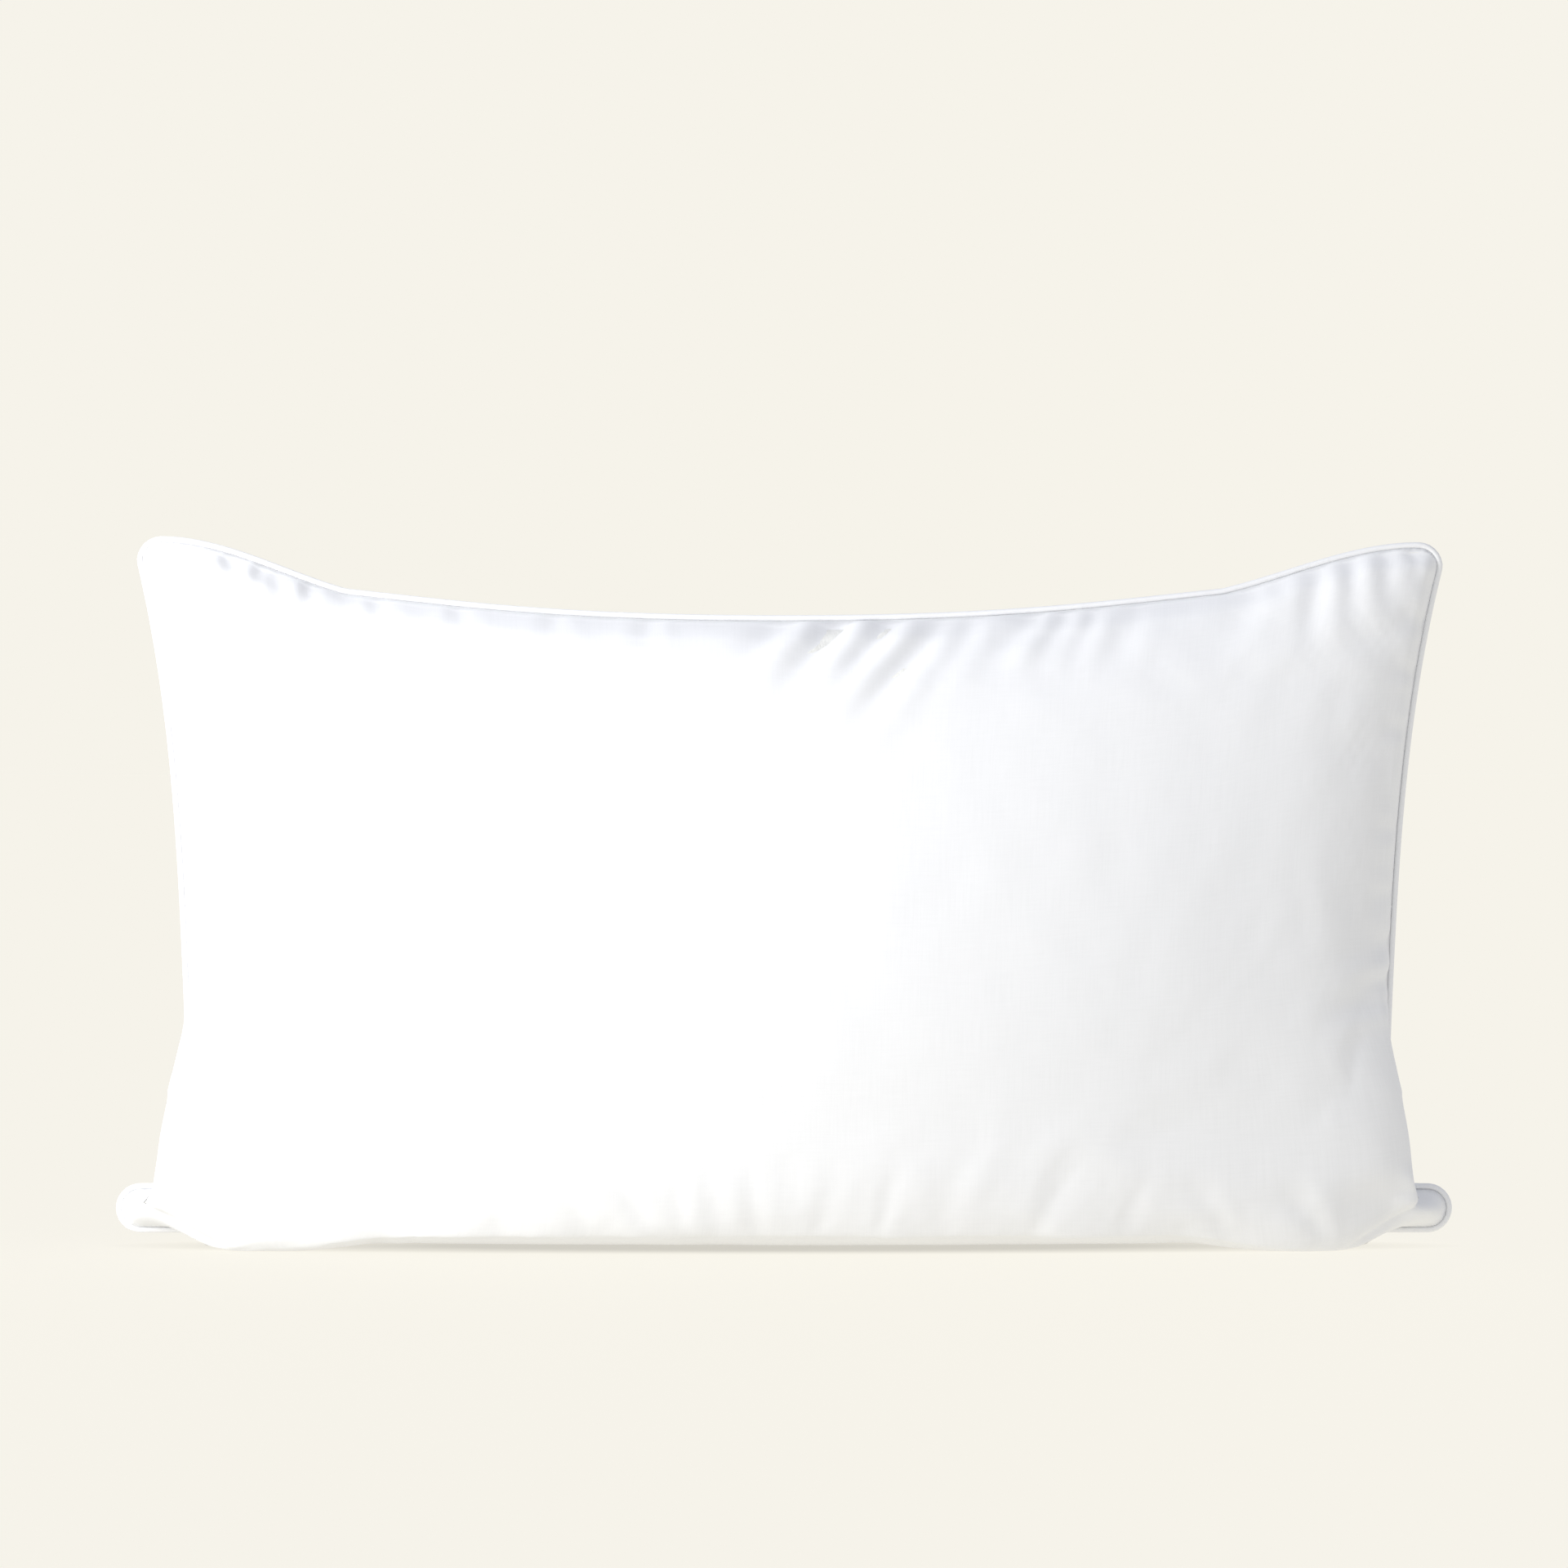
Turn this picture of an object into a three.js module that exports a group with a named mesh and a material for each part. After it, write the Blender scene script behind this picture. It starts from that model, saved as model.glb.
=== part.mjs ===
// A king-size bed pillow with a corded edge, standing on one long side.
//
// Millimetres, +Z up. X runs along the pillow and the front panel faces -Y. The origin is the
// middle of the footprint, on the floor. The seam lies in the plane Y = 0. Each panel is one
// cut of cloth: it crowns over the fill, folds at the seam and runs back inside as an
// allowance, and the two legs of the corded edging are sewn between the two allowances.
import * as THREE from "three";

// ---- driving dimensions ----------------------------------------------------------------

const length = 900; // over the edging, from tip to tip of the two lower corners
const height = 478; // from the floor to the top of the higher upper corner's edging
const thickness = 190; // front to back at the fullest point

const bottomSeamHeight = 13.5; // the fold is held clear of the floor by the fill on both sides
const archHeight = 8.5; // of the underside's middle; the pillow stands on its two ends
const archFoot = 105; // from each end to where the underside leaves the floor
const archShoulder = 190; // and to where it reaches that height
const topSag = 53; // the top seam's middle below the higher upper corner
const shoulderInset = 150; // from each end to where the top seam turns up to its corner
const shoulderRise = 18; // of the top seam from its middle to that shoulder

const lowerCornerNeck = 62; // height at which a lower corner springs from the end seam
const neckInset = 3; // how much further in than the waist the seam is there
const cornerRoom = 3; // a corner turns this much wider than the allowance folded into it

// The two ends differ a little, as stuffed cloth does. Low on each end the fill pushes the
// cloth out by lobeReach.
const leftEnd = {
  hand: -1,
  cornerInset: 15,
  cornerDrop: 0,
  waistInset: 46,
  pinchHeight: 163,
  lobeReach: 42,
};
const rightEnd = {
  hand: 1,
  cornerInset: 7,
  cornerDrop: 4,
  waistInset: 41,
  pinchHeight: 150,
  lobeReach: 37,
};

const endLobeStart = 20; // heights along the end seam between which the lobe swells
const endLobeFull = 50;
const endLobeFade = 53;
const endLobeTaper = 75; // it has faded this far above the pinch
const endLobeRise = 24; // the push is full from here to endLobeHold, in from the end seam
const endLobeHold = 30;
const endLobeSpread = 180;
const baseLobeReach = 30; // and down past the bottom seam, where the floor then flattens it
const baseLobeRise = 10; // full from here to baseLobeHold, in from the bottom seam
const baseLobeHold = 24;
const baseLobeSpread = 95;
const baseLobeFoot = 15; // and from 0 here to full at baseLobeShoulder, in from each end
const baseLobeShoulder = 80;

const lengthBluntness = 2.4; // higher keeps the thickness for more of the length
const endRoundness = 0.56; // lower rounds the ends more bluntly
const baseRoundness = 0.37; // and the same at the base and at the top
const topRoundness = 0.6;

const seamBulk = 6; // the sewn layers hold the cloth this far off the seam plane
const seamBulkWidth = 12;

const clothThickness = 0.5;
const edgingThickness = 0.4;
const cordRadius = 1.3;
const seamAllowance = 9;
const legSetback = 1; // the edging's legs end this much short of the allowances
const threadRadius = 0.2;
const stitchInset = 2.4; // from the fold to the line of stitching
const clearance = 0.3; // between pieces that touch
const fillStandOff = 0.9; // the fill is rounder than the creases of the cloth, so it stays clear

const closingLength = 150; // of the opening that the fill went in through
const closingPitch = 6; // from one hand stitch to the next
const closingWander = 0.15; // of the closing thread from side to side

const labelWidth = 32;
const labelLength = 58;
const labelThickness = 0.4;
const labelStandOff = 0.9; // it hangs this clear of the panel
const labelFromEnd = 150; // along the top seam, from the right end

// ---- fineness of the mesh ---------------------------------------------------------------

const cellsLong = 28;
const cellsHigh = 16;
const crowding = 0.7; // 0 spaces the cells evenly, 1 crowds them fully towards the seam
const cordSides = 6;
const beadSides = 6;
const threadSides = 4;
const closingSides = 2;
const closingSteps = 50;
const labelCells = 6;
const labelPasses = 5; // to find where on the crown the label's edges lie
const shareStep = 0.01; // for the normals under the label

// ---- layers of the seam, measured from its middle plane ----------------------------------

const edgingLegInner = clearance / 2;
const edgingLegOuter = edgingLegInner + edgingThickness;
const allowanceInner = edgingLegOuter + clearance;
const allowanceOuter = allowanceInner + clothThickness;
const threadDepth = allowanceOuter + clearance + threadRadius;
const edgingBore = (cordRadius + clearance) / Math.cos(Math.PI / beadSides); // to its corners
const beadRadius = edgingBore + edgingThickness;
const beadOffset = beadRadius + clearance; // the bead's middle, outside the fold
const edgingReach = beadOffset + beadRadius; // how far the edging stands out past the fold
const cornerRadius = seamAllowance + cornerRoom;
const foldLength = length - 2 * edgingReach;
const foldHeight = height - edgingReach;

// ---- outline of the seam -----------------------------------------------------------------

const circleHandle = 0.5523; // handle of a cubic that draws a quarter circle, over its radius

function endPoint(end, inset, z) {
  return new THREE.Vector2(end.hand * (foldLength / 2 - inset), z);
}

// From the lower corner's tip up to where the upper corner's round begins.
function endSeam(end) {
  const r = cornerRadius;
  const k = r * circleHandle;
  const tipHeight = bottomSeamHeight + r;
  const tip = endPoint(end, 0, tipHeight);
  const cornerTop = endPoint(end, r, tipHeight + r);
  const neck = endPoint(end, end.waistInset + neckInset, lowerCornerNeck);
  const pinch = endPoint(end, end.waistInset, end.pinchHeight);
  const cornerHeight = foldHeight - end.cornerDrop - cornerRadius;
  const corner = endPoint(end, end.cornerInset, cornerHeight);
  const rise = cornerHeight - end.pinchHeight;
  const flare = end.waistInset - end.cornerInset;
  const seam = new THREE.CurvePath();
  seam.add(new THREE.CubicBezierCurve(
    tip,
    endPoint(end, 0, tipHeight + k),
    endPoint(end, r - k, tipHeight + r),
    cornerTop,
  ));
  seam.add(new THREE.CubicBezierCurve(
    cornerTop,
    endPoint(end, (r + end.waistInset) / 2, tipHeight + r),
    endPoint(end, end.waistInset + neckInset, tipHeight + r),
    neck,
  ));
  seam.add(new THREE.LineCurve(neck, pinch));
  seam.add(new THREE.CubicBezierCurve(
    pinch,
    endPoint(end, end.waistInset - flare / 8, end.pinchHeight + rise / 3),
    endPoint(end, end.waistInset - flare / 4, end.pinchHeight + (rise * 2) / 3),
    corner,
  ));
  return seam;
}

// From the end seam's top, round the upper corner and along to the middle of the top seam.
function halfTopSeam(end) {
  const r = cornerRadius;
  const k = r * circleHandle;
  const tipHeight = foldHeight - end.cornerDrop;
  const middleHeight = foldHeight - topSag;
  const inset = end.cornerInset;
  const roundEnd = endPoint(end, inset + r, tipHeight);
  const shoulder = endPoint(end, shoulderInset, middleHeight + shoulderRise);
  const middle = new THREE.Vector2(0, middleHeight);
  const slope = (shoulderInset - inset - r) / 3;
  const lift = (tipHeight - middleHeight - shoulderRise) / 3;
  return [
    new THREE.CubicBezierCurve(
      endPoint(end, inset, tipHeight - r),
      endPoint(end, inset, tipHeight - r + k),
      endPoint(end, inset + r - k, tipHeight),
      roundEnd,
    ),
    new THREE.CubicBezierCurve(
      roundEnd,
      endPoint(end, inset + r + slope, tipHeight),
      endPoint(end, shoulderInset - slope, middleHeight + shoulderRise + lift),
      shoulder,
    ),
    new THREE.CubicBezierCurve(
      shoulder,
      endPoint(end, shoulderInset + slope * 2, middleHeight + shoulderRise / 2),
      endPoint(end, foldLength / 3, middleHeight),
      middle,
    ),
  ];
}

// The same three curves, run the other way.
function reversed(curves) {
  return curves
    .map((curve) => new THREE.CubicBezierCurve(curve.v3, curve.v2, curve.v1, curve.v0))
    .reverse();
}

function topSeam() {
  const seam = new THREE.CurvePath();
  seam.curves = [...halfTopSeam(leftEnd), ...reversed(halfTopSeam(rightEnd))];
  return seam;
}

function bottomSeam() {
  const r = cornerRadius;
  const k = r * circleHandle;
  const z = bottomSeamHeight;
  const under = (end) => [
    endPoint(end, 0, z + r),
    endPoint(end, 0, z + r - k),
    endPoint(end, r - k, z),
    endPoint(end, r, z),
  ];
  const left = under(leftEnd);
  const right = under(rightEnd);
  const seam = new THREE.CurvePath();
  seam.add(new THREE.CubicBezierCurve(...left));
  seam.add(new THREE.LineCurve(left[3], right[3]));
  seam.add(new THREE.CubicBezierCurve(...right.reverse()));
  return seam;
}

const seams = {
  bottom: bottomSeam(),
  top: topSeam(),
  left: endSeam(leftEnd),
  right: endSeam(rightEnd),
};
const endSeamLength = (seams.left.getLength() + seams.right.getLength()) / 2;

// ---- crown of a panel --------------------------------------------------------------------

// Rises from 0 at `start` to 1 at `full`, holds, and fades from `fade` to 0 at `end`.
function swell(value, start, full, fade, end) {
  const up = THREE.MathUtils.smoothstep(value, start, full);
  return up * (1 - THREE.MathUtils.smoothstep(value, fade, end));
}

// The end lobe's push outwards, this far along from the end seam and up along it.
function endPush(end, fromEnd, fromBase) {
  const top = end.pinchHeight + endLobeTaper;
  const outward = swell(fromEnd, 0, endLobeRise, endLobeHold, endLobeSpread);
  return end.lobeReach * outward * swell(fromBase, endLobeStart, endLobeFull, endLobeFade, top);
}

// The level that the underside is flattened to: the floor near the ends, an arch between.
function underside(x) {
  const fromEnd = foldLength / 2 - Math.abs(x);
  return archHeight * THREE.MathUtils.smoothstep(fromEnd, archFoot, archShoulder);
}

// Share of the half thickness: full along the length, round at both ends.
function fullnessAlong(u) {
  return (1 - Math.abs(2 * u - 1) ** lengthBluntness) ** endRoundness;
}

// Fuller low down, where the fill settles, and leaner at the top.
function fullnessUp(v) {
  const peak = baseRoundness / (baseRoundness + topRoundness);
  const atPeak = peak ** baseRoundness * (1 - peak) ** topRoundness;
  return (v ** baseRoundness * (1 - v) ** topRoundness) / atPeak;
}

// The panel's outer face at shares u along and v up, as x, depth from the seam plane, z.
function crownPoint(u, v) {
  const bottom = seams.bottom.getPoint(u);
  const top = seams.top.getPoint(u);
  const left = seams.left.getPoint(v);
  const right = seams.right.getPoint(v);
  const corners = [
    [seams.bottom.getPoint(0), (1 - u) * (1 - v)],
    [seams.bottom.getPoint(1), u * (1 - v)],
    [seams.top.getPoint(0), (1 - u) * v],
    [seams.top.getPoint(1), u * v],
  ];
  const flat = bottom
    .multiplyScalar(1 - v)
    .addScaledVector(top, v)
    .addScaledVector(left, 1 - u)
    .addScaledVector(right, u);
  for (const [corner, weight] of corners) {
    flat.addScaledVector(corner, -weight);
  }
  const fromLeft = u * foldLength;
  const fromRight = (1 - u) * foldLength;
  const fromBase = v * endSeamLength;
  const sidePush = endPush(rightEnd, fromRight, fromBase) - endPush(leftEnd, fromLeft, fromBase);
  const fromEnd = Math.min(fromLeft, fromRight);
  const basePush = swell(fromBase, 0, baseLobeRise, baseLobeHold, baseLobeSpread)
    * THREE.MathUtils.smoothstep(fromEnd, baseLobeFoot, baseLobeShoulder);
  const x = flat.x + sidePush;
  const z = Math.max(flat.y - baseLobeReach * basePush, underside(x));
  const fromSeam = Math.min(fromEnd, fromBase, endSeamLength - fromBase);
  const bulk = seamBulk * THREE.MathUtils.smoothstep(fromSeam, 0, seamBulkWidth);
  const crown = (thickness / 2 - allowanceInner - seamBulk) * fullnessAlong(u) * fullnessUp(v);
  return new THREE.Vector3(x, allowanceInner + bulk + crown, z);
}

// ---- the grid that the panels and the fill share -----------------------------------------

// Share of the way after this many cells.
function crowded(step, steps) {
  const even = THREE.MathUtils.clamp(step / steps, 0, 1);
  return (1 - crowding) * even + (crowding * (1 - Math.cos(Math.PI * even))) / 2;
}

// The outward normal, measured between the shares before and after the point, along and up.
function crownNormal([uBefore, u, uAfter], [vBefore, v, vAfter]) {
  const along = crownPoint(uAfter, v).sub(crownPoint(uBefore, v));
  const up = crownPoint(u, vAfter).sub(crownPoint(u, vBefore));
  return up.cross(along).normalize();
}

const gridPoints = [];
for (let i = 0; i <= cellsLong; i += 1) {
  for (let j = 0; j <= cellsHigh; j += 1) {
    const u = [i - 1, i, i + 1].map((step) => crowded(step, cellsLong));
    const v = [j - 1, j, j + 1].map((step) => crowded(step, cellsHigh));
    gridPoints.push({ i, j, point: crownPoint(u[1], v[1]), normal: crownNormal(u, v) });
  }
}

function gridAt(i, j) {
  return gridPoints[i * (cellsHigh + 1) + j];
}

// Once round the seam, anticlockwise from the lower left tip: the grid node at each station.
function seamStations() {
  const stations = [];
  for (let i = 0; i < cellsLong; i += 1) {
    stations.push(gridAt(i, 0));
  }
  for (let j = 0; j < cellsHigh; j += 1) {
    stations.push(gridAt(cellsLong, j));
  }
  for (let i = cellsLong; i > 0; i -= 1) {
    stations.push(gridAt(i, cellsHigh));
  }
  for (let j = cellsHigh; j > 0; j -= 1) {
    stations.push(gridAt(0, j));
  }
  return stations;
}

const stations = seamStations().map((node, index, all) => {
  const before = all[(index + all.length - 1) % all.length].point;
  const after = all[(index + 1) % all.length].point;
  const here = node.point;
  const into = new THREE.Vector2(here.x - before.x, here.z - before.z).normalize();
  const out = new THREE.Vector2(after.x - here.x, after.z - here.z).normalize();
  const heading = into.clone().add(out).normalize();
  const inward = new THREE.Vector2(-heading.y, heading.x).divideScalar(heading.dot(out));
  node.station = index;
  return { point: here, inward };
});

// A point at a seam station: `inset` into the pillow from the fold, `depth` off the seam plane.
function seamPoint(station, inset, depth) {
  return new THREE.Vector3(
    station.point.x + station.inward.x * inset,
    depth,
    station.point.z + station.inward.y * inset,
  );
}

// ---- mesh building -----------------------------------------------------------------------

// Gathers points given as x, depth, z. `side` is -1 for the front and 1 for the back.
class Surface {
  constructor() {
    this.positions = [];
    this.triangles = [];
  }

  add(point, side) {
    this.positions.push(point.x, side * point.y, point.z);
    return this.positions.length / 3 - 1;
  }

  quad(a, b, c, d, turned) {
    this.triangles.push(...(turned ? [a, c, b, a, d, c] : [a, b, c, a, c, d]));
  }

  // Faces between two closed rows of points of the same count.
  band(lower, upper, turned) {
    for (let k = 0; k < lower.length; k += 1) {
      const next = (k + 1) % lower.length;
      this.quad(lower[k], lower[next], upper[next], upper[k], turned);
    }
  }

  // The crown `drop` inside the panel's outer face, with its edge on the given loop of points.
  crown(loop, drop, side, turned) {
    const ids = gridPoints.map(({ point, normal, station }) => (
      station === undefined
        ? this.add(point.clone().addScaledVector(normal, -drop), side)
        : loop[station]
    ));
    const idAt = (i, j) => ids[i * (cellsHigh + 1) + j];
    for (let i = 0; i < cellsLong; i += 1) {
      for (let j = 0; j < cellsHigh; j += 1) {
        this.quad(idAt(i, j), idAt(i + 1, j), idAt(i + 1, j + 1), idAt(i, j + 1), turned);
      }
    }
  }

  // A loop of points once round the seam.
  loop(inset, depth, side) {
    return stations.map((station) => this.add(seamPoint(station, inset, depth), side));
  }

  geometry() {
    const geometry = new THREE.BufferGeometry();
    geometry.setAttribute("position", new THREE.Float32BufferAttribute(this.positions, 3));
    geometry.setIndex(this.triangles);
    geometry.computeVertexNormals();
    return geometry;
  }
}

// Sweeps a closed outline of [inset, depth] pairs once round the seam.
function sweptRoundSeam(outline) {
  const surface = new Surface();
  const rows = outline.map(([inset, depth]) => surface.loop(inset, depth, 1));
  rows.forEach((row, index) => surface.band(row, rows[(index + 1) % rows.length], false));
  return surface.geometry();
}

function circleOutline(inset, depth, radius, sides) {
  const outline = [];
  for (let k = 0; k < sides; k += 1) {
    const angle = (2 * Math.PI * k) / sides;
    outline.push([inset + radius * Math.cos(angle), depth + radius * Math.sin(angle)]);
  }
  return outline;
}

// ---- cloth panels ------------------------------------------------------------------------

function panelGeometry(side) {
  const surface = new Surface();
  const turned = side > 0;
  const outerFold = surface.loop(0, allowanceInner, side);
  const innerFold = surface.loop(clothThickness, allowanceOuter, side);
  const allowanceNear = surface.loop(seamAllowance, allowanceInner, side);
  const allowanceFar = surface.loop(seamAllowance, allowanceOuter, side);
  surface.crown(outerFold, 0, side, turned);
  surface.crown(innerFold, clothThickness, side, !turned);
  surface.band(allowanceNear, outerFold, turned);
  surface.band(allowanceFar, allowanceNear, turned);
  surface.band(innerFold, allowanceFar, turned);
  return surface.geometry();
}

// ---- fill --------------------------------------------------------------------------------

// The fill packs both panels, up to a groove all round for the sewn allowances.
function fillGeometry() {
  const surface = new Surface();
  const groove = seamAllowance + clearance;
  const lips = [-1, 1].map((side) => {
    const lip = surface.loop(groove, allowanceOuter + clearance, side);
    surface.crown(lip, clothThickness + fillStandOff, side, side > 0);
    return lip;
  });
  surface.band(lips[1], lips[0], false);
  return surface.geometry();
}

// ---- corded edging -----------------------------------------------------------------------

// A bias strip folded round the cord: a bead outside the seam and two flat legs inside it.
function edgingGeometry() {
  const legEnd = seamAllowance - legSetback;
  const arc = (radius, opening, sides) => {
    const half = Math.asin(opening / radius);
    const points = [];
    for (let k = 0; k <= sides; k += 1) {
      const angle = half + ((2 * Math.PI - 2 * half) * k) / sides;
      points.push([-beadOffset + radius * Math.cos(angle), radius * Math.sin(angle)]);
    }
    return points;
  };
  return sweptRoundSeam([
    [legEnd, edgingLegOuter],
    ...arc(beadRadius, edgingLegOuter, beadSides),
    [legEnd, -edgingLegOuter],
    [legEnd, -edgingLegInner],
    ...arc(edgingBore, edgingLegInner, beadSides).reverse(),
    [legEnd, edgingLegInner],
  ]);
}

// ---- closing thread ----------------------------------------------------------------------

// Hand stitches between the back panel's fold and the bead, in the middle of the bottom seam.
function closingThreadGeometry() {
  const outside = clearance + threadRadius * 2;
  const depth = beadRadius + threadRadius;
  const points = [];
  for (let x = -closingLength / 2; x <= closingLength / 2; x += closingPitch / 2) {
    const turn = Math.round((x * 2) / closingPitch) % 2 === 0 ? 1 : -1;
    points.push(new THREE.Vector3(x, depth + closingWander * turn, bottomSeamHeight - outside));
  }
  const section = new THREE.Shape().absarc(0, 0, threadRadius, 0, 2 * Math.PI);
  return new THREE.ExtrudeGeometry(section, {
    steps: closingSteps,
    curveSegments: closingSides,
    extrudePath: new THREE.CatmullRomCurve3(points),
  });
}

// ---- care label --------------------------------------------------------------------------

// The share along at which the crown, this share up, reaches x.
function shareAlongAt(x, v) {
  let u = x / foldLength + 0.5;
  for (let pass = 0; pass < labelPasses; pass += 1) {
    u += (x - crownPoint(u, v).x) / foldLength;
  }
  return u;
}

// A blank ribbon that hangs from the top seam down the back panel.
function labelGeometry() {
  const surface = new Surface();
  const middle = length / 2 - labelFromEnd;
  const start = beadRadius + clearance;
  const rows = [];
  for (let k = 0; k <= labelCells; k += 1) {
    const v = 1 - (start + (labelLength * k) / labelCells) / endSeamLength;
    const row = [];
    for (const lift of [labelStandOff, labelStandOff + labelThickness]) {
      for (const x of [middle - labelWidth / 2, middle + labelWidth / 2]) {
        const u = shareAlongAt(x, v);
        const normal = crownNormal(
          [u - shareStep, u, u + shareStep],
          [v - shareStep, v, Math.min(v + shareStep, 1)],
        );
        row.push(surface.add(crownPoint(u, v).addScaledVector(normal, lift), 1));
      }
    }
    rows.push(row);
  }
  for (let k = 0; k < labelCells; k += 1) {
    const [a, b, c, d] = rows[k];
    const [e, f, g, h] = rows[k + 1];
    surface.quad(c, d, h, g, false);
    surface.quad(b, a, e, f, false);
    surface.quad(a, c, g, e, false);
    surface.quad(d, b, f, h, false);
  }
  const [a, b, c, d] = rows[0];
  const [e, f, g, h] = rows[labelCells];
  surface.quad(a, b, d, c, false);
  surface.quad(e, g, h, f, false);
  return surface.geometry();
}

// ---- assembly ----------------------------------------------------------------------------

const cotton = { color: "#f7f7f8", roughness: 0.72, metalness: 0 };
const fibre = { color: "#fbfbf9", roughness: 0.95, metalness: 0 };
const thread = { color: "#f2f2f0", roughness: 0.6, metalness: 0 };
const ribbon = { color: "#f4f4f2", roughness: 0.5, metalness: 0 };

function piece(name, geometry, finish) {
  const mesh = new THREE.Mesh(geometry, new THREE.MeshStandardMaterial(finish));
  mesh.name = name;
  return mesh;
}

function threadOutline(side) {
  return circleOutline(stitchInset, side * threadDepth, threadRadius, threadSides);
}

const pillow = new THREE.Group();
pillow.add(
  piece("front_panel", panelGeometry(-1), cotton),
  piece("back_panel", panelGeometry(1), cotton),
  piece("fibre_fill", fillGeometry(), fibre),
  piece("edging_strip", edgingGeometry(), cotton),
  piece("edging_cord", sweptRoundSeam(circleOutline(-beadOffset, 0, cordRadius, cordSides)), fibre),
  piece("needle_thread", sweptRoundSeam(threadOutline(-1)), thread),
  piece("bobbin_thread", sweptRoundSeam(threadOutline(1)), thread),
  piece("closing_thread", closingThreadGeometry(), thread),
  piece("care_label", labelGeometry(), ribbon),
);

export default pillow;
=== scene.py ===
import math

import bmesh
import bpy
import numpy as np
from bpy.props import FloatProperty, FloatVectorProperty, IntProperty, PointerProperty
from bpy.types import Operator, Panel, PropertyGroup
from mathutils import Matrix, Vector


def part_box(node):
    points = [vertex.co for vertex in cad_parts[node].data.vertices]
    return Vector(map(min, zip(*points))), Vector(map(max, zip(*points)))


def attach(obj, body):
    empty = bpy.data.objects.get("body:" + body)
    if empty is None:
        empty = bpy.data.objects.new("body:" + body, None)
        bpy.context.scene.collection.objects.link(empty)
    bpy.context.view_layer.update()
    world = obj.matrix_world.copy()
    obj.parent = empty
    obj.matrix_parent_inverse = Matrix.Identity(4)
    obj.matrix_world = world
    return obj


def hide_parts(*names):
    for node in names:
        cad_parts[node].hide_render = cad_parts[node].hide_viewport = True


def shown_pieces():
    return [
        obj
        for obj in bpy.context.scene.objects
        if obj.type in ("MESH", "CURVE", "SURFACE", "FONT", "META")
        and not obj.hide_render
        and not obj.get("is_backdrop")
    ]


bl_info = {
    "name": "Corded Bed Pillow",
    "version": (1, 0, 0),
    "blender": (4, 5, 0),
    "location": "View3D > Sidebar > Pillow",
    "description": "Builds a bed pillow with a corded edge round its packed part",
    "category": "Object",
}

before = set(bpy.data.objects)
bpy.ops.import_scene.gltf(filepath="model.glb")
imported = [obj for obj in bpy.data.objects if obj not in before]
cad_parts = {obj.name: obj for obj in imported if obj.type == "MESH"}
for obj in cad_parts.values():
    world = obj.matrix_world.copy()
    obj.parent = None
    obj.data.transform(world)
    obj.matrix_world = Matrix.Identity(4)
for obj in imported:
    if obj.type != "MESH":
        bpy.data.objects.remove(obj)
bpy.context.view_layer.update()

# ---- sizes taken from the part ------------------------------------------------------------

PANEL_LOW, PANEL_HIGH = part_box("front_panel")
STRIP_LOW, STRIP_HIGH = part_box("edging_strip")
CORD_LOW, CORD_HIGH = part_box("edging_cord")
THREAD_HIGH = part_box("bobbin_thread")[1]
CLOSING_LOW, CLOSING_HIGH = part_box("closing_thread")
LABEL_LOW, LABEL_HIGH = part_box("care_label")

FOLD_LENGTH = PANEL_HIGH.x - PANEL_LOW.x
FOLD_HEIGHT = PANEL_HIGH.z
HALF_THICKNESS = -PANEL_LOW.y
ALLOWANCE_DEPTH = -PANEL_HIGH.y
BEAD_RADIUS = (STRIP_HIGH.y - STRIP_LOW.y) / 2
BEAD_OFFSET = STRIP_HIGH.x - PANEL_HIGH.x - BEAD_RADIUS

MM = 0.001
MERGE = 1e-7

# ---- shape of the seam and the crown, as the part's source gives them -----------------------

BOTTOM_SEAM_HEIGHT = 13.5 * MM
ARCH_HEIGHT = 8.5 * MM
ARCH_FOOT = 105 * MM
ARCH_SHOULDER = 190 * MM
TOP_SAG = 53 * MM
SHOULDER_INSET = 150 * MM
SHOULDER_RISE = 18 * MM
LOWER_NECK = 62 * MM
NECK_INSET = 3 * MM
CORNER_RADIUS = 12 * MM
SEAM_ALLOWANCE = 9 * MM
STITCH_INSET = 2.4 * MM
CLOTH = 0.5 * MM
LEFT_END = {
    "hand": -1,
    "corner_inset": 15 * MM,
    "corner_drop": 0,
    "waist_inset": 46 * MM,
    "pinch": 163 * MM,
    "lobe_reach": 42 * MM,
}
RIGHT_END = {
    "hand": 1,
    "corner_inset": 7 * MM,
    "corner_drop": 4 * MM,
    "waist_inset": 41 * MM,
    "pinch": 150 * MM,
    "lobe_reach": 37 * MM,
}
END_LOBE_START, END_LOBE_FULL, END_LOBE_FADE, END_LOBE_TAPER = 20 * MM, 50 * MM, 53 * MM, 75 * MM
END_LOBE_RISE, END_LOBE_HOLD, END_LOBE_SPREAD = 24 * MM, 30 * MM, 180 * MM
BASE_LOBE_REACH = 30 * MM
BASE_LOBE_RISE, BASE_LOBE_HOLD, BASE_LOBE_SPREAD = 10 * MM, 24 * MM, 95 * MM
BASE_LOBE_FOOT, BASE_LOBE_SHOULDER = 15 * MM, 80 * MM
LENGTH_BLUNTNESS, END_ROUNDNESS = 2.4, 0.56
BASE_ROUNDNESS, TOP_ROUNDNESS = 0.37, 0.6
SEAM_BULK, SEAM_BULK_WIDTH = 6 * MM, 12 * MM

CIRCLE_HANDLE = 0.5523
CURVE_STEPS = 200


def end_point(end, inset, z):
    return np.array([end["hand"] * (FOLD_LENGTH / 2 - inset), z])


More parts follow.
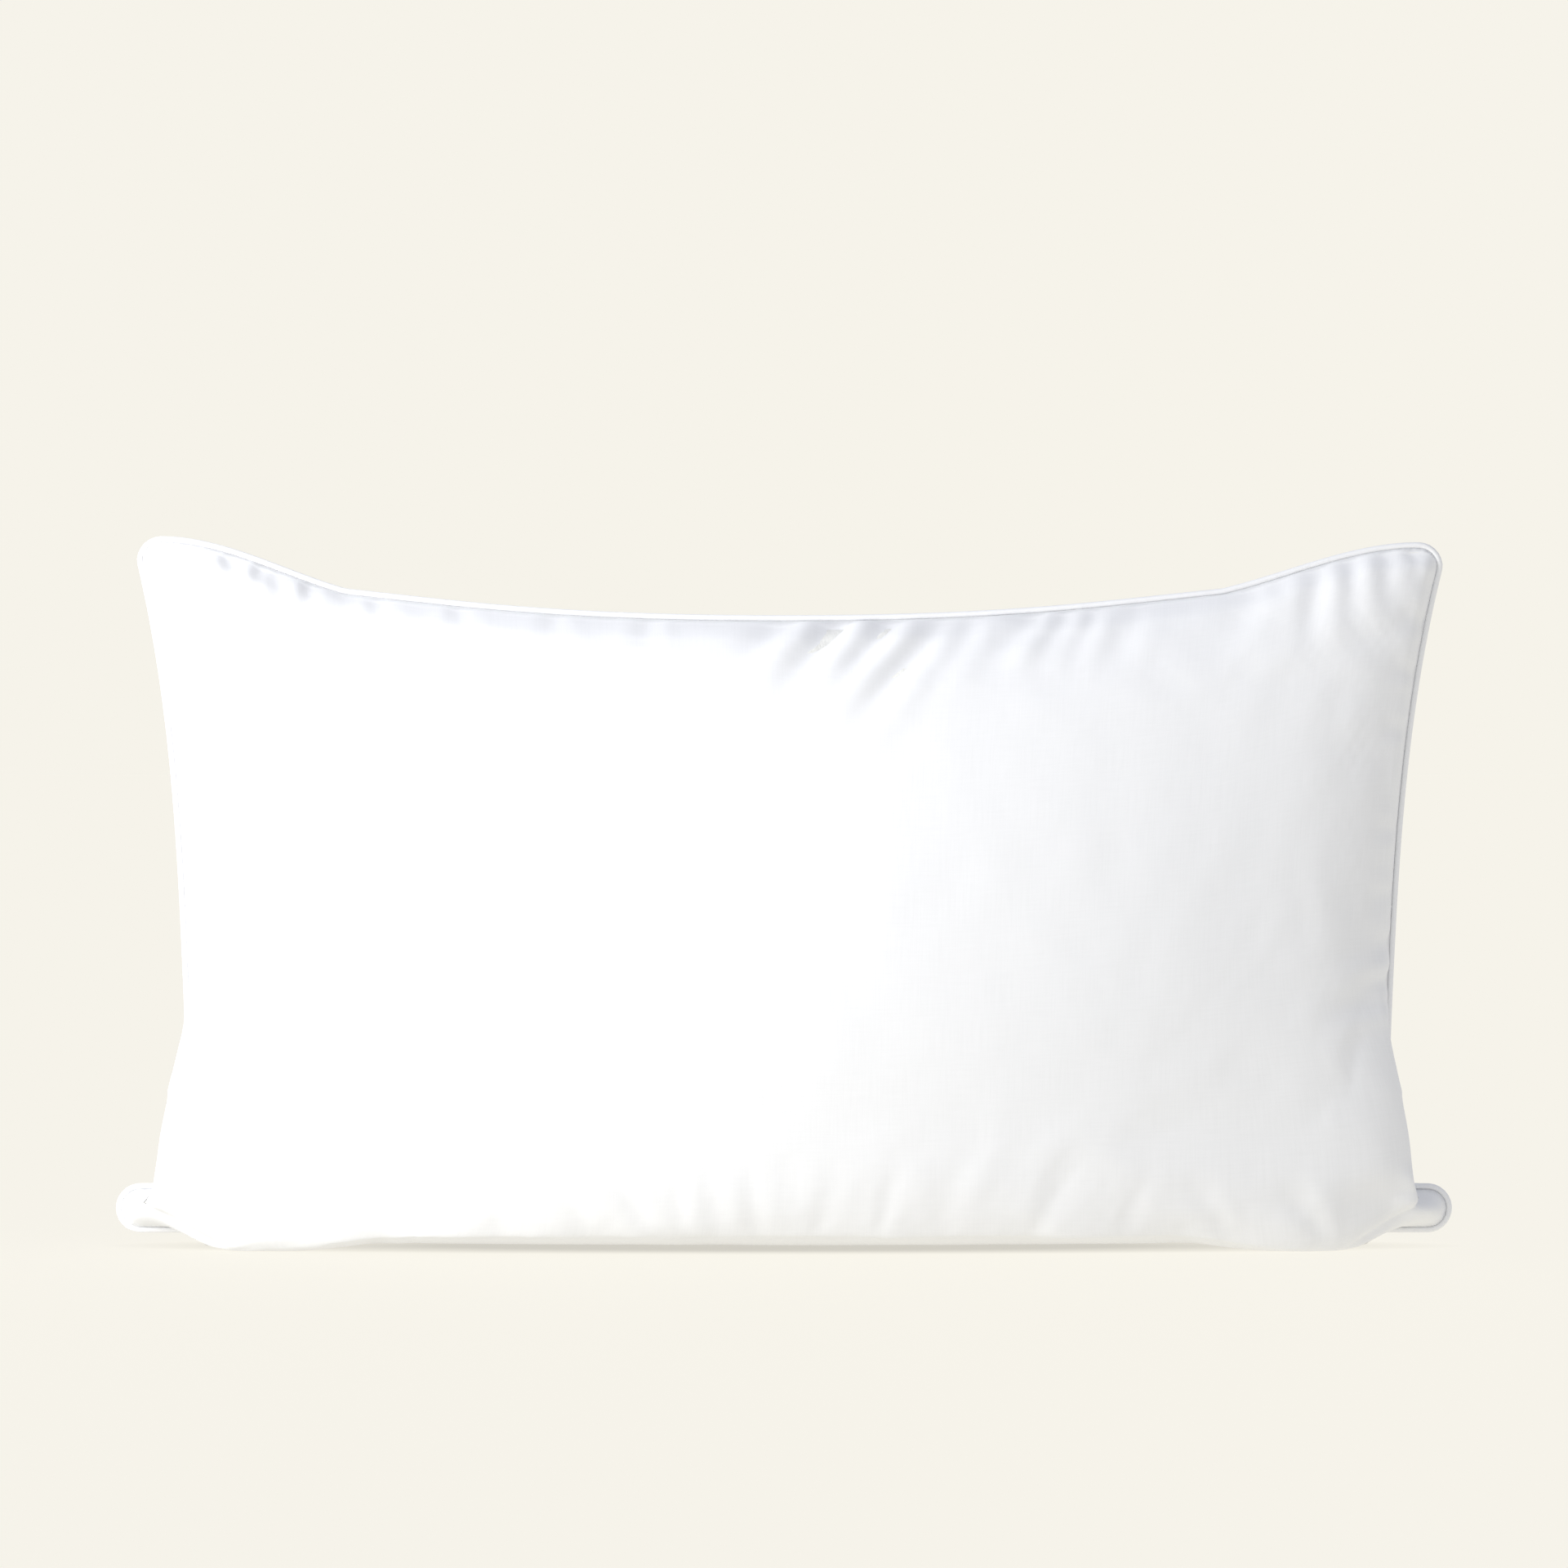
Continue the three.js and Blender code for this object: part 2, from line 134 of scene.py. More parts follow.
def cubic(a, b, c, d):
    """Points along one cubic curve, with its two handles in the middle."""
    t = np.linspace(0, 1, CURVE_STEPS + 1)[:, None]
    s = 1 - t
    return s**3 * a + 3 * s**2 * t * b + 3 * s * t**2 * c + t**3 * d


class SeamLine:
    """A run of curves, read by share of its length."""

    def __init__(self, curves):
        self.points = np.concatenate([curves[0], *[c[1:] for c in curves[1:]]])
        steps = np.linalg.norm(np.diff(self.points, axis=0), axis=1)
        self.along = np.concatenate([[0], np.cumsum(steps)])
        self.length = self.along[-1]

    def at(self, share):
        place = np.asarray(share) * self.length
        x = np.interp(place, self.along, self.points[:, 0])
        z = np.interp(place, self.along, self.points[:, 1])
        return np.stack([x, z], axis=-1)


def end_seam(end):
    r, k = CORNER_RADIUS, CORNER_RADIUS * CIRCLE_HANDLE
    tip = BOTTOM_SEAM_HEIGHT + r
    waist, neck_inset = end["waist_inset"], end["waist_inset"] + NECK_INSET
    corner_z = FOLD_HEIGHT - end["corner_drop"] - r
    rise, flare = corner_z - end["pinch"], waist - end["corner_inset"]
    neck, pinch = end_point(end, neck_inset, LOWER_NECK), end_point(end, waist, end["pinch"])
    return SeamLine(
        [
            cubic(
                end_point(end, 0, tip),
                end_point(end, 0, tip + k),
                end_point(end, r - k, tip + r),
                end_point(end, r, tip + r),
            ),
            cubic(
                end_point(end, r, tip + r),
                end_point(end, (r + waist) / 2, tip + r),
                end_point(end, neck_inset, tip + r),
                neck,
            ),
            np.linspace(neck, pinch, CURVE_STEPS),
            cubic(
                pinch,
                end_point(end, waist - flare / 8, end["pinch"] + rise / 3),
                end_point(end, waist - flare / 4, end["pinch"] + rise * 2 / 3),
                end_point(end, end["corner_inset"], corner_z),
            ),
        ]
    )


def half_top_seam(end):
    r, k = CORNER_RADIUS, CORNER_RADIUS * CIRCLE_HANDLE
    inset, tip = end["corner_inset"], FOLD_HEIGHT - end["corner_drop"]
    middle = FOLD_HEIGHT - TOP_SAG
    slope = (SHOULDER_INSET - inset - r) / 3
    lift = (tip - middle - SHOULDER_RISE) / 3
    shoulder = end_point(end, SHOULDER_INSET, middle + SHOULDER_RISE)
    return [
        cubic(
            end_point(end, inset, tip - r),
            end_point(end, inset, tip - r + k),
            end_point(end, inset + r - k, tip),
            end_point(end, inset + r, tip),
        ),
        cubic(
            end_point(end, inset + r, tip),
            end_point(end, inset + r + slope, tip),
            end_point(end, SHOULDER_INSET - slope, middle + SHOULDER_RISE + lift),
            shoulder,
        ),
        cubic(
            shoulder,
            end_point(end, SHOULDER_INSET + slope * 2, middle + SHOULDER_RISE / 2),
            end_point(end, FOLD_LENGTH / 3, middle),
            np.array([0, middle]),
        ),
    ]


def bottom_seam():
    r, k, z = CORNER_RADIUS, CORNER_RADIUS * CIRCLE_HANDLE, BOTTOM_SEAM_HEIGHT

    def under(end):
        return cubic(
            end_point(end, 0, z + r),
            end_point(end, 0, z + r - k),
            end_point(end, r - k, z),
            end_point(end, r, z),
        )

    left, right = under(LEFT_END), under(RIGHT_END)[::-1]
    return SeamLine([left, np.linspace(left[-1], right[0], CURVE_STEPS), right])


def top_seam():
    right = [c[::-1] for c in reversed(half_top_seam(RIGHT_END))]
    return SeamLine([*half_top_seam(LEFT_END), *right])


SEAMS = {
    "bottom": bottom_seam(),
    "top": top_seam(),
    "left": end_seam(LEFT_END),
    "right": end_seam(RIGHT_END),
}
END_SEAM_LENGTH = (SEAMS["left"].length + SEAMS["right"].length) / 2


def smoothstep(value, low, high):
    t = np.clip((value - low) / (high - low), 0, 1)
    return t * t * (3 - 2 * t)


def swell(value, start, full, fade, end):
    """0 at start, 1 from full to fade, 0 again at end."""
    return smoothstep(value, start, full) * (1 - smoothstep(value, fade, end))


def end_push(end, from_end, from_base):
    outward = swell(from_end, 0, END_LOBE_RISE, END_LOBE_HOLD, END_LOBE_SPREAD)
    top = end["pinch"] + END_LOBE_TAPER
    up = swell(from_base, END_LOBE_START, END_LOBE_FULL, END_LOBE_FADE, top)
    return end["lobe_reach"] * outward * up


def underside(x):
    """The level of the pillow's underside: on the floor near the ends, arched between."""
    return ARCH_HEIGHT * smoothstep(FOLD_LENGTH / 2 - np.abs(x), ARCH_FOOT, ARCH_SHOULDER)


def crown(u, v):
    """The panel's outer face at shares u along and v up, as rows of x, depth, z."""
    bottom, top = SEAMS["bottom"].at(u), SEAMS["top"].at(u)
    left, right = SEAMS["left"].at(v), SEAMS["right"].at(v)
    uu, vv = u[:, None], v[:, None]
    flat = bottom * (1 - vv) + top * vv + left * (1 - uu) + right * uu
    flat -= SEAMS["bottom"].at(0) * (1 - uu) * (1 - vv) + SEAMS["bottom"].at(1) * uu * (1 - vv)
    flat -= SEAMS["top"].at(0) * (1 - uu) * vv + SEAMS["top"].at(1) * uu * vv
    from_left, from_right, from_base = u * FOLD_LENGTH, (1 - u) * FOLD_LENGTH, v * END_SEAM_LENGTH
    from_end = np.minimum(from_left, from_right)
    side = end_push(RIGHT_END, from_right, from_base) - end_push(LEFT_END, from_left, from_base)
    down = swell(from_base, 0, BASE_LOBE_RISE, BASE_LOBE_HOLD, BASE_LOBE_SPREAD)
    down *= smoothstep(from_end, BASE_LOBE_FOOT, BASE_LOBE_SHOULDER)
    x = flat[:, 0] + side
    z = np.maximum(flat[:, 1] - BASE_LOBE_REACH * down, underside(x))
    from_seam = np.minimum(from_end, np.minimum(from_base, END_SEAM_LENGTH - from_base))
    bulk = SEAM_BULK * smoothstep(from_seam, 0, SEAM_BULK_WIDTH)
    along = np.maximum(1 - np.abs(2 * u - 1) ** LENGTH_BLUNTNESS, 0) ** END_ROUNDNESS
    peak = BASE_ROUNDNESS / (BASE_ROUNDNESS + TOP_ROUNDNESS)
    up = (v / peak) ** BASE_ROUNDNESS * ((1 - v) / (1 - peak)) ** TOP_ROUNDNESS
    depth = ALLOWANCE_DEPTH + bulk + (HALF_THICKNESS - ALLOWANCE_DEPTH - SEAM_BULK) * along * up
    return np.stack([x, depth, z], axis=1)


# ---- user's sizes and colours ---------------------------------------------------------------


def linear(hex_colour):
    """An sRGB hex colour as linear RGBA."""
    parts = [int(hex_colour[i : i + 2], 16) / 255 for i in (1, 3, 5)]
    low = [c / 12.92 if c <= 0.04045 else ((c + 0.055) / 1.055) ** 2.4 for c in parts]
    return (*low, 1.0)


PAPER = linear("#F6F3EA")
ROOM_LIGHT = (0.96, 0.98, 1.06, 1.0)
ROOM_STRENGTH = 0.58
# The floor's glow far off, and its lower glow at the middle of the painted shadow under the pillow.
PAPER_GLOW, SHADED_GLOW = 0.9, 0.6


def colour_property(name, description, hex_colour):
    return FloatVectorProperty(
        name=name, description=description, subtype="COLOR", size=4, default=linear(hex_colour)
    )


class CoverSettings(PropertyGroup):
    cut_length: FloatProperty(
        name="Cut length",
        description="Panel from seam to seam along the pillow, before filling",
        default=0.914,
        unit="LENGTH",
    )
    cut_height: FloatProperty(
        name="Cut height",
        description="Panel from seam to seam up the pillow, before filling",
        default=0.508,
        unit="LENGTH",
    )
    plumpness: FloatProperty(
        name="Plumpness",
        description="Pressure of the fill on the cloth",
        default=3.0,
        min=0,
    )
    frames: IntProperty(
        name="Settling frames",
        description="Frames that the filled cloth is given to settle",
        default=26,
        min=1,
    )
    colour: colour_property("Cotton colour", "Colour of the cover's cotton", "#F1F2F4")


class TrimSettings(PropertyGroup):
    cord_lay: FloatProperty(
        name="Cord lay",
        description="Length in which the filler cord's plies turn once",
        default=0.007,
        min=0.001,
        unit="LENGTH",
    )
    thread_radius: FloatProperty(
        name="Thread radius",
        description="Half the width of the sewing thread",
        default=0.0002,
        min=0.00005,
        unit="LENGTH",
    )
    thread_colour: colour_property("Thread colour", "Colour of the sewing thread", "#F1F1EF")
    cord_colour: colour_property("Cord colour", "Colour of the filler cord", "#ECE8DC")
    label_colour: colour_property("Ribbon colour", "Colour of the blank care ribbon", "#F2F2EF")


class StageSettings(PropertyGroup):
    key_power: FloatProperty(
        name="Key light",
        description="Power of the soft light at the front left",
        default=25,
        min=0,
        unit="POWER",
    )
    top_power: FloatProperty(
        name="Top light",
        description="Power of the soft light above",
        default=1,
        min=0,
        unit="POWER",
    )
    camera_distance: FloatProperty(
        name="Camera distance",
        description="From the camera to the middle of the view",
        default=3.955,
        min=1,
        unit="LENGTH",
    )
    camera_rise: FloatProperty(
        name="Camera rise",
        description="Angle of the view above level",
        default=math.radians(1.0),
        unit="ROTATION",
    )


# ---- small tools ----------------------------------------------------------------------------


def new_piece(name, bm):
    mesh = bpy.data.meshes.new(name)
    bm.to_mesh(mesh)
    bm.free()
    piece = bpy.data.objects.new(name, mesh)
    bpy.context.scene.collection.objects.link(piece)
    mesh.shade_smooth()
    return piece


def read_points(mesh):
    co = np.empty(len(mesh.vertices) * 3)
    mesh.vertices.foreach_get("co", co)
    return co.reshape(-1, 3)


def write_points(mesh, co):
    mesh.vertices.foreach_set("co", np.ascontiguousarray(co, dtype=np.float32).ravel())
    mesh.update()


def read_normals(mesh):
    mesh.update()
    normals = np.empty(len(mesh.vertices) * 3)
    mesh.vertices.foreach_get("normal", normals)
    return normals.reshape(-1, 3)


def apply_modifiers(piece):
    """The piece's mesh as its modifiers leave it, with none of them left on."""
    bpy.context.view_layer.update()
    shaped = piece.evaluated_get(bpy.context.evaluated_depsgraph_get())
    mesh = bpy.data.meshes.new_from_object(shaped)
    piece.modifiers.clear()
    old, piece.data = piece.data, mesh
    bpy.data.meshes.remove(old)
    mesh.name = piece.name


# ---- the seam, once round ----------------------------------------------------------------------

SEAM_STATIONS = 960
BEAD_SNUG = 0.8 * MM
STRIP_LEG = SEAM_ALLOWANCE - 1 * MM
STRIP_GAP, STRIP_WALL = 0.15 * MM, 0.4 * MM


def seam_ring():
    """Points round the seam, anticlockwise from the lower left tip, with the way in from each."""
    rough = [
        SEAMS["bottom"].points,
        SEAMS["right"].points,
        SEAMS["top"].points[::-1],
        SEAMS["left"].points[::-1],
    ]
    ring = SeamLine(rough)
    points = ring.at(np.arange(SEAM_STATIONS) / SEAM_STATIONS)
    heading = np.roll(points, -1, axis=0) - np.roll(points, 1, axis=0)
    heading /= np.linalg.norm(heading, axis=1)[:, None]
    return points, np.stack([-heading[:, 1], heading[:, 0]], axis=1), ring.length


RING, RING_INWARD, RING_LENGTH = seam_ring()


def sweep_round_seam(name, outline, uv_name="along seam"):
    """A closed tube round the seam: outline gives inset and depth, by turn and by way along."""
    sides = outline(np.zeros(1), np.zeros(1), count_only=True)
    bm = bmesh.new()
    bmesh.ops.create_grid(bm, x_segments=SEAM_STATIONS, y_segments=sides, size=0.5)
    uv = bm.loops.layers.uv.new(uv_name)
    for face in bm.faces:
        for loop in face.loops:
            x, y = loop.vert.co[:2]
            loop[uv].uv = ((x + 0.5) * RING_LENGTH, (y + 0.5) * 2 * math.pi * BEAD_RADIUS)
    bm.verts.ensure_lookup_table()
    even = np.array([v.co[:2] for v in bm.verts]) + 0.5
    station = np.rint(even[:, 0] * SEAM_STATIONS).astype(int) % SEAM_STATIONS
    turn = np.rint(even[:, 1] * sides).astype(int) % sides
    inset, depth = outline(turn, station * RING_LENGTH / SEAM_STATIONS)
    flat = RING[station] + RING_INWARD[station] * inset[:, None]
    for vert, (x, z), y in zip(bm.verts, flat, depth):
        vert.co = (x, y, z)
    bmesh.ops.remove_doubles(bm, verts=bm.verts, dist=MERGE)
    bmesh.ops.recalc_face_normals(bm, faces=bm.faces)
    return new_piece(name, bm)


def round_outline(inset, depth, radius, sides, plies=0, lay=1.0):
    """Outline of a cord or thread: its plies bulge by a tenth, and turn once in each lay."""

    def outline(turn, along, count_only=False):
        if count_only:
            return sides
        angle = 2 * math.pi * turn / sides
        turns = round(RING_LENGTH / lay) / RING_LENGTH
        swollen = radius * (0.9 + 0.1 * np.cos(plies * angle - 2 * math.pi * along * turns))
        r = swollen if plies else np.full(len(angle), radius)
        return inset + r * np.cos(angle), depth + r * np.sin(angle)

    return outline


def strip_outline(turn, along, count_only=False):
    """The bias strip's outline: a bead round the cord and two flat legs back between the panels."""
    leg_end, gap, wall = STRIP_LEG, STRIP_GAP, STRIP_WALL
    middle = -BEAD_OFFSET + BEAD_SNUG

    def arc(radius, opening, sides):
        half = math.asin(opening / radius)
        angles = half + (2 * math.pi - 2 * half) * np.arange(sides + 1) / sides
        return [(middle + radius * math.cos(a), radius * math.sin(a)) for a in angles]

    outside = arc(BEAD_RADIUS, gap + wall, 20)
    inside = arc(BEAD_RADIUS - wall, gap, 12)[::-1]
    legs_out = [(leg_end, gap + wall), (leg_end * 0.5, gap + wall)]
    legs_back = [(leg_end * 0.5, -gap - wall), (leg_end, -gap - wall), (leg_end, -gap)]
    profile = np.array([*legs_out, *outside, *legs_back, *inside, (leg_end, gap)])
    if count_only:
        return len(profile)
    return profile[turn, 0], profile[turn, 1]


# ---- panels ----------------------------------------------------------------------------------

CELLS_LONG, CELLS_HIGH = 144, 80
CROWDING = 0.45  # how much closer the cells lie at the seam than in the middle
RIPPLE_HEIGHT, RIPPLE_SIZE = 0.4 * MM, 2
HOLD_LEAST, HOLD_MORE = 0.004, 0.2
HOLD_START, HOLD_FULL = 30 * MM, 160 * MM
BLUR_PASSES = 90
WRINKLE_LIMIT = 6 * MM
WRINKLE_LOSS = 0.68  # share of the wrinkles that the plump middle pulls out
LOSS_START, LOSS_FULL = 40 * MM, 130 * MM


def crowded(even):
    """Even shares drawn towards both ends."""
    return (1 - CROWDING) * even + CROWDING * (1 - np.cos(np.pi * even)) / 2


def panel_grid(side):
    """A flat grid of shares, X along and Y up, facing out on its side of the seam."""
    bm = bmesh.new()
    bmesh.ops.create_grid(bm, x_segments=CELLS_LONG, y_segments=CELLS_HIGH, size=0.5)
    uv = bm.loops.layers.uv.new("cut")
    settings = bpy.context.scene.pillow_cover
    for face in bm.faces:
        for loop in face.loops:
            share = [crowded(c + 0.5) for c in loop.vert.co[:2]]
            loop[uv].uv = (share[0] * settings.cut_length, share[1] * settings.cut_height)
    if side > 0:
        bmesh.ops.reverse_faces(bm, faces=bm.faces)
    return bm


def settle(panel, start, cut, hold):
    """Lets the cut cloth settle on its fill, from a crowned start, with its seam held."""
    scene = bpy.context.scene
    settings = scene.pillow_cover
    write_points(panel.data, start)
    panel.shape_key_add(name="crowned")
    cut_key = panel.shape_key_add(name="cut")
    cut_key.data.foreach_set("co", np.ascontiguousarray(cut, dtype=np.float32).ravel())
    group = panel.vertex_groups.new(name="held")
    for index, weight in enumerate(hold):
        group.add([index], float(weight), "REPLACE")
    cloth = panel.modifiers.new("settle", "CLOTH")
    rules = cloth.settings
    rules.quality = 5
    rules.mass = 0.0004
    rules.tension_stiffness = 20
    rules.compression_stiffness = 20
    rules.shear_stiffness = 4
    rules.bending_stiffness = 0.01
    rules.use_pressure = True
    rules.uniform_pressure_force = settings.plumpness
    rules.effector_weights.gravity = 0
    rules.vertex_group_mass = group.name
    rules.pin_stiffness = 1.0
    rules.rest_shape_key = cut_key
    cloth.collision_settings.use_collision = False
    cloth.point_cache.frame_end = settings.frames
    for number in range(1, settings.frames + 1):
        scene.frame_set(number)
    bpy.context.view_layer.update()
    shaped = panel.evaluated_get(bpy.context.evaluated_depsgraph_get())
    settled = read_points(shaped.data).copy()
    panel.modifiers.clear()
    panel.shape_key_clear()
    panel.vertex_groups.clear()
    scene.frame_set(1)
    return settled


def blurred(field, even, passes):
    """The field smoothed over the grid, where even gives each point's place on it."""
    column = np.rint(even[:, 0] * CELLS_LONG).astype(int)
    row = np.rint(even[:, 1] * CELLS_HIGH).astype(int)
    grid = np.zeros((CELLS_LONG + 1, CELLS_HIGH + 1, field.shape[1]))
    grid[column, row] = field
    for _ in range(passes):
        padded = np.pad(grid, ((1, 1), (1, 1), (0, 0)), mode="edge")
        grid = (padded[:-2, 1:-1] + padded[2:, 1:-1] + padded[1:-1, :-2] + padded[1:-1, 2:]) / 4
    return grid[column, row]


def soft_noise(even, seed, size):
    """Smooth random numbers over the grid, about one swell to each size cells."""
    rng = np.random.default_rng(seed)
    return blurred(rng.normal(0, 1, (len(even), 1)), even, size * size)[:, 0]


def settled_crown(panel, side, seed):
    """The designed crown with the wrinkles of the settled cloth on it."""
    settings = bpy.context.scene.pillow_cover
    even = read_points(panel.data)[:, :2] + 0.5
    u, v = crowded(even[:, 0]), crowded(even[:, 1])
    start = crown(u, v)
    start[:, 1] *= side
    on_seam = (np.abs(even - 0.5) > 0.4999).any(axis=1)
    ripple = soft_noise(even, seed, RIPPLE_SIZE)
    ripple *= np.where(on_seam, 0, RIPPLE_HEIGHT) / np.abs(ripple).std()
    shaken = start + np.outer(ripple, (0, side, 0))
    cut = np.stack(
        [
            (u - 0.5) * settings.cut_length,
            np.full(len(u), side * HALF_THICKNESS),
            v * settings.cut_height,
        ],
        axis=1,
    )
    from_seam = np.minimum(
        np.minimum(u, 1 - u) * FOLD_LENGTH, np.minimum(v, 1 - v) * END_SEAM_LENGTH
    )
    inner_hold = HOLD_LEAST + HOLD_MORE * smoothstep(from_seam, HOLD_START, HOLD_FULL)
    moved = settle(panel, shaken, cut, np.where(on_seam, 1.0, inner_hold)) - start
    fine = moved - blurred(moved, even, BLUR_PASSES)
    kept = 1 - WRINKLE_LOSS * smoothstep(from_seam, LOSS_START, LOSS_FULL)
    fine *= np.where(on_seam, 0, kept)[:, None]
    size = np.linalg.norm(fine, axis=1)
    fine *= (np.minimum(size, WRINKLE_LIMIT) / np.maximum(size, 1e-9))[:, None]
    return start + fine, even


ROLL_OUT, ROLL_UP = 0.7 * MM, 0.9 * MM
TURN_INSET, TURN_DROP = 0.3 * MM, 0.1 * MM


def lay_along_seam(verts, inset, depth):
    """Lays the points beside the seam, each opposite the part of it that is nearest."""
    flat = np.array([(v.co.x, v.co.z) for v in verts])
    nearest = np.argmin(((flat[:, None] - RING[None]) ** 2).sum(axis=2), axis=1)
    for vert, index in zip(verts, nearest):
        x, z = RING[index] + RING_INWARD[index] * inset
        vert.co = (x, depth, z)


def turn_in_allowance(panel, side):
    """Rolls the cloth's edge against the bead and runs it back inside, as the seam's allowance."""
    bm = bmesh.new()
    bm.from_mesh(panel.data)
    border = [edge for edge in bm.edges if edge.is_boundary]
    rim = [vert for vert in bm.verts if vert.is_boundary]
    lay_along_seam(rim, -ROLL_OUT, side * (ALLOWANCE_DEPTH + ROLL_UP))
    for inset in (TURN_INSET, SEAM_ALLOWANCE):
        made = bmesh.ops.extrude_edge_only(bm, edges=border)["geom"]
        verts = [g for g in made if isinstance(g, bmesh.types.BMVert)]
        border = [g for g in made if isinstance(g, bmesh.types.BMEdge) and g.is_boundary]
        lay_along_seam(verts, inset, side * (ALLOWANCE_DEPTH - TURN_DROP))
    bm.to_mesh(panel.data)
    bm.free()
    panel.data.shade_smooth()


def make_panel(name, side, seed):
    panel = new_piece(name, panel_grid(side))
    points, even = settled_crown(panel, side, seed)
    write_points(panel.data, points)
    fill_half = fill_from(panel, side, even)
    rounded = panel.modifiers.new("rounded", "SUBSURF")
    rounded.levels = rounded.render_levels = 1
    rounded.boundary_smooth = "PRESERVE_CORNERS"
    apply_modifiers(panel)
    ease_ears(panel, EASE_BEFORE)
    press_folds(panel, FOLDS, mirrored=side > 0)
    ease_ears(panel, EASE_AFTER)
    turn_in_allowance(panel, side)
    wall = panel.modifiers.new("cloth", "SOLIDIFY")
    wall.thickness = CLOTH
    wall.offset = -1
    return panel, fill_half


# ---- folds pressed into both panels -----------------------------------------------------------

# Each is a valley from one point to another as shares of the panel's box, its width in mm and
# its depth in mm (a ridge where that is negative). It starts at the first point, by the seam,
# widens as it goes, and fades out past the second. The back has them the other way round.
FOLDS = [
    (0.5151, 0.8964, 0.4659, 0.8479, 8.0, 2.53), (0.5525, 0.9057, 0.4923, 0.7831, 9.2, 3.91),
    (0.5869, 0.8941, 0.5151, 0.7646, 8.0, 2.99), (0.6195, 0.8826, 0.5439, 0.7438, 8.0, 2.76),
    (0.6471, 0.8941, 0.5980, 0.7900, 8.0, 1.20), (0.6963, 0.9057, 0.6533, 0.8409, 6.9, 2.53),
    (0.7184, 0.9057, 0.6828, 0.8386, 6.9, 2.00), (0.7381, 0.9057, 0.7073, 0.8363, 6.9, 1.40),
    (0.7700, 0.9080, 0.7362, 0.8132, 8.0, 0.90), (0.8591, 0.9381, 0.8253, 0.8479, 9.2, 1.39),
    (0.8769, 0.9496, 0.8591, 0.8479, 7.9, 0.78), (0.9052, 0.9635, 0.8855, 0.8409, 9.2, 2.41),
    (0.9303, 0.9751, 0.9174, 0.8826, 7.9, 1.74), (0.9568, 0.9867, 0.9506, 0.9115, 7.9, 1.74),
    (0.9758, 0.9959, 0.9709, 0.9230, 7.9, 1.57), (0.0795, 0.9867, 0.0893, 0.9462, 5.8, 1.20),
    (0.1034, 0.9705, 0.1127, 0.9311, 5.8, 1.30), (0.1157, 0.9612, 0.1262, 0.9149, 5.8, 1.20),
    (0.1403, 0.9450, 0.1458, 0.9057, 5.8, 1.20), (0.1925, 0.9230, 0.1987, 0.8768, 6.9, 0.80),
    (0.2540, 0.9149, 0.2576, 0.8710, 6.9, 0.70), (0.3277, 0.9080, 0.3252, 0.8594, 6.9, 0.70),
    (0.4014, 0.9034, 0.3928, 0.8479, 6.9, 0.80), (0.9617, 0.4361, 0.9371, 0.4268, 6.0, 1.20),
    (0.9592, 0.3806, 0.9064, 0.3551, 7.0, 2.00), (0.9568, 0.3528, 0.9039, 0.3366, 6.0, 1.60),
    (0.9580, 0.5008, 0.9346, 0.4962, 6.0, 0.80), (0.9617, 0.5934, 0.9371, 0.5934, 6.0, 0.80),
    (0.9678, 0.7322, 0.9457, 0.7438, 6.0, 0.90), (0.9758, 0.8132, 0.9543, 0.8305, 6.0, 0.90),
    (0.9838, 0.8826, 0.9617, 0.9034, 6.9, 1.00), (0.0463, 0.4430, 0.0709, 0.4361, 6.0, 1.00),
    (0.0488, 0.3852, 0.0918, 0.3667, 7.0, 1.50), (0.0500, 0.3482, 0.0942, 0.3273, 6.0, 1.40),
    (0.0414, 0.6165, 0.0672, 0.6165, 6.0, 0.80), (0.0303, 0.7785, 0.0549, 0.7900, 6.0, 0.80),
    (0.0181, 0.8941, 0.0414, 0.9126, 6.9, 0.90), (0.3535, 0.0382, 0.3277, 0.1585, 8.3, 0.57),
    (0.3996, 0.0382, 0.3619, 0.1631, 7.1, 0.76), (0.4247, 0.0335, 0.4188, 0.1538, 5.1, 0.34),
    (0.4505, 0.0312, 0.4432, 0.1562, 8.1, 0.49), (0.4813, 0.0312, 0.4688, 0.1538, 7.1, 0.60),
    (0.5243, 0.0289, 0.5404, 0.1423, 6.1, 0.35), (0.5703, 0.0289, 0.5845, 0.1423, 5.1, 0.49),
    (0.6164, 0.0289, 0.6285, 0.1538, 9.5, 0.46), (0.6379, 0.0891, 0.6706, 0.1839, 8.3, -0.49),
    (0.6852, 0.0289, 0.7209, 0.1631, 7.1, 0.54), (0.7516, 0.0289, 0.7747, 0.1423, 6.0, 0.39),
    (0.2908, 0.0382, 0.2787, 0.1423, 9.5, 0.49), (0.2417, 0.0382, 0.2159, 0.1191, 8.3, 0.34),
    (0.2263, 0.0289, 0.2024, 0.0798, 7.0, 1.60), (0.9718, 0.0983, 0.9355, 0.0491, 9.5, 1.06),
    (0.9472, 0.0914, 0.9097, 0.0514, 9.5, 0.89), (0.9052, 0.0289, 0.8683, 0.0960, 8.0, 1.20),
    (0.8314, 0.0312, 0.7995, 0.1076, 6.8, 0.69), (0.0181, 0.0983, 0.0488, 0.0451, 8.4, 1.00),
    (0.0414, 0.0937, 0.0709, 0.0474, 8.4, 0.90), (0.0942, 0.0312, 0.1262, 0.0960, 8.0, 1.10),
]


FOLD_START, FOLD_WIDENING, FOLD_END = 0.75, 0.6, 1.2
FOLD_TAPER = (-0.15, 0.2, 0.45, 1.15)
LIP_PLACE, LIP_SHARE = 1.9, 0.55
ROOT_REACH = 75 * MM
ROOT_HEIGHT = 105 * MM
EASE_BEFORE, EASE_AFTER = 16, 3


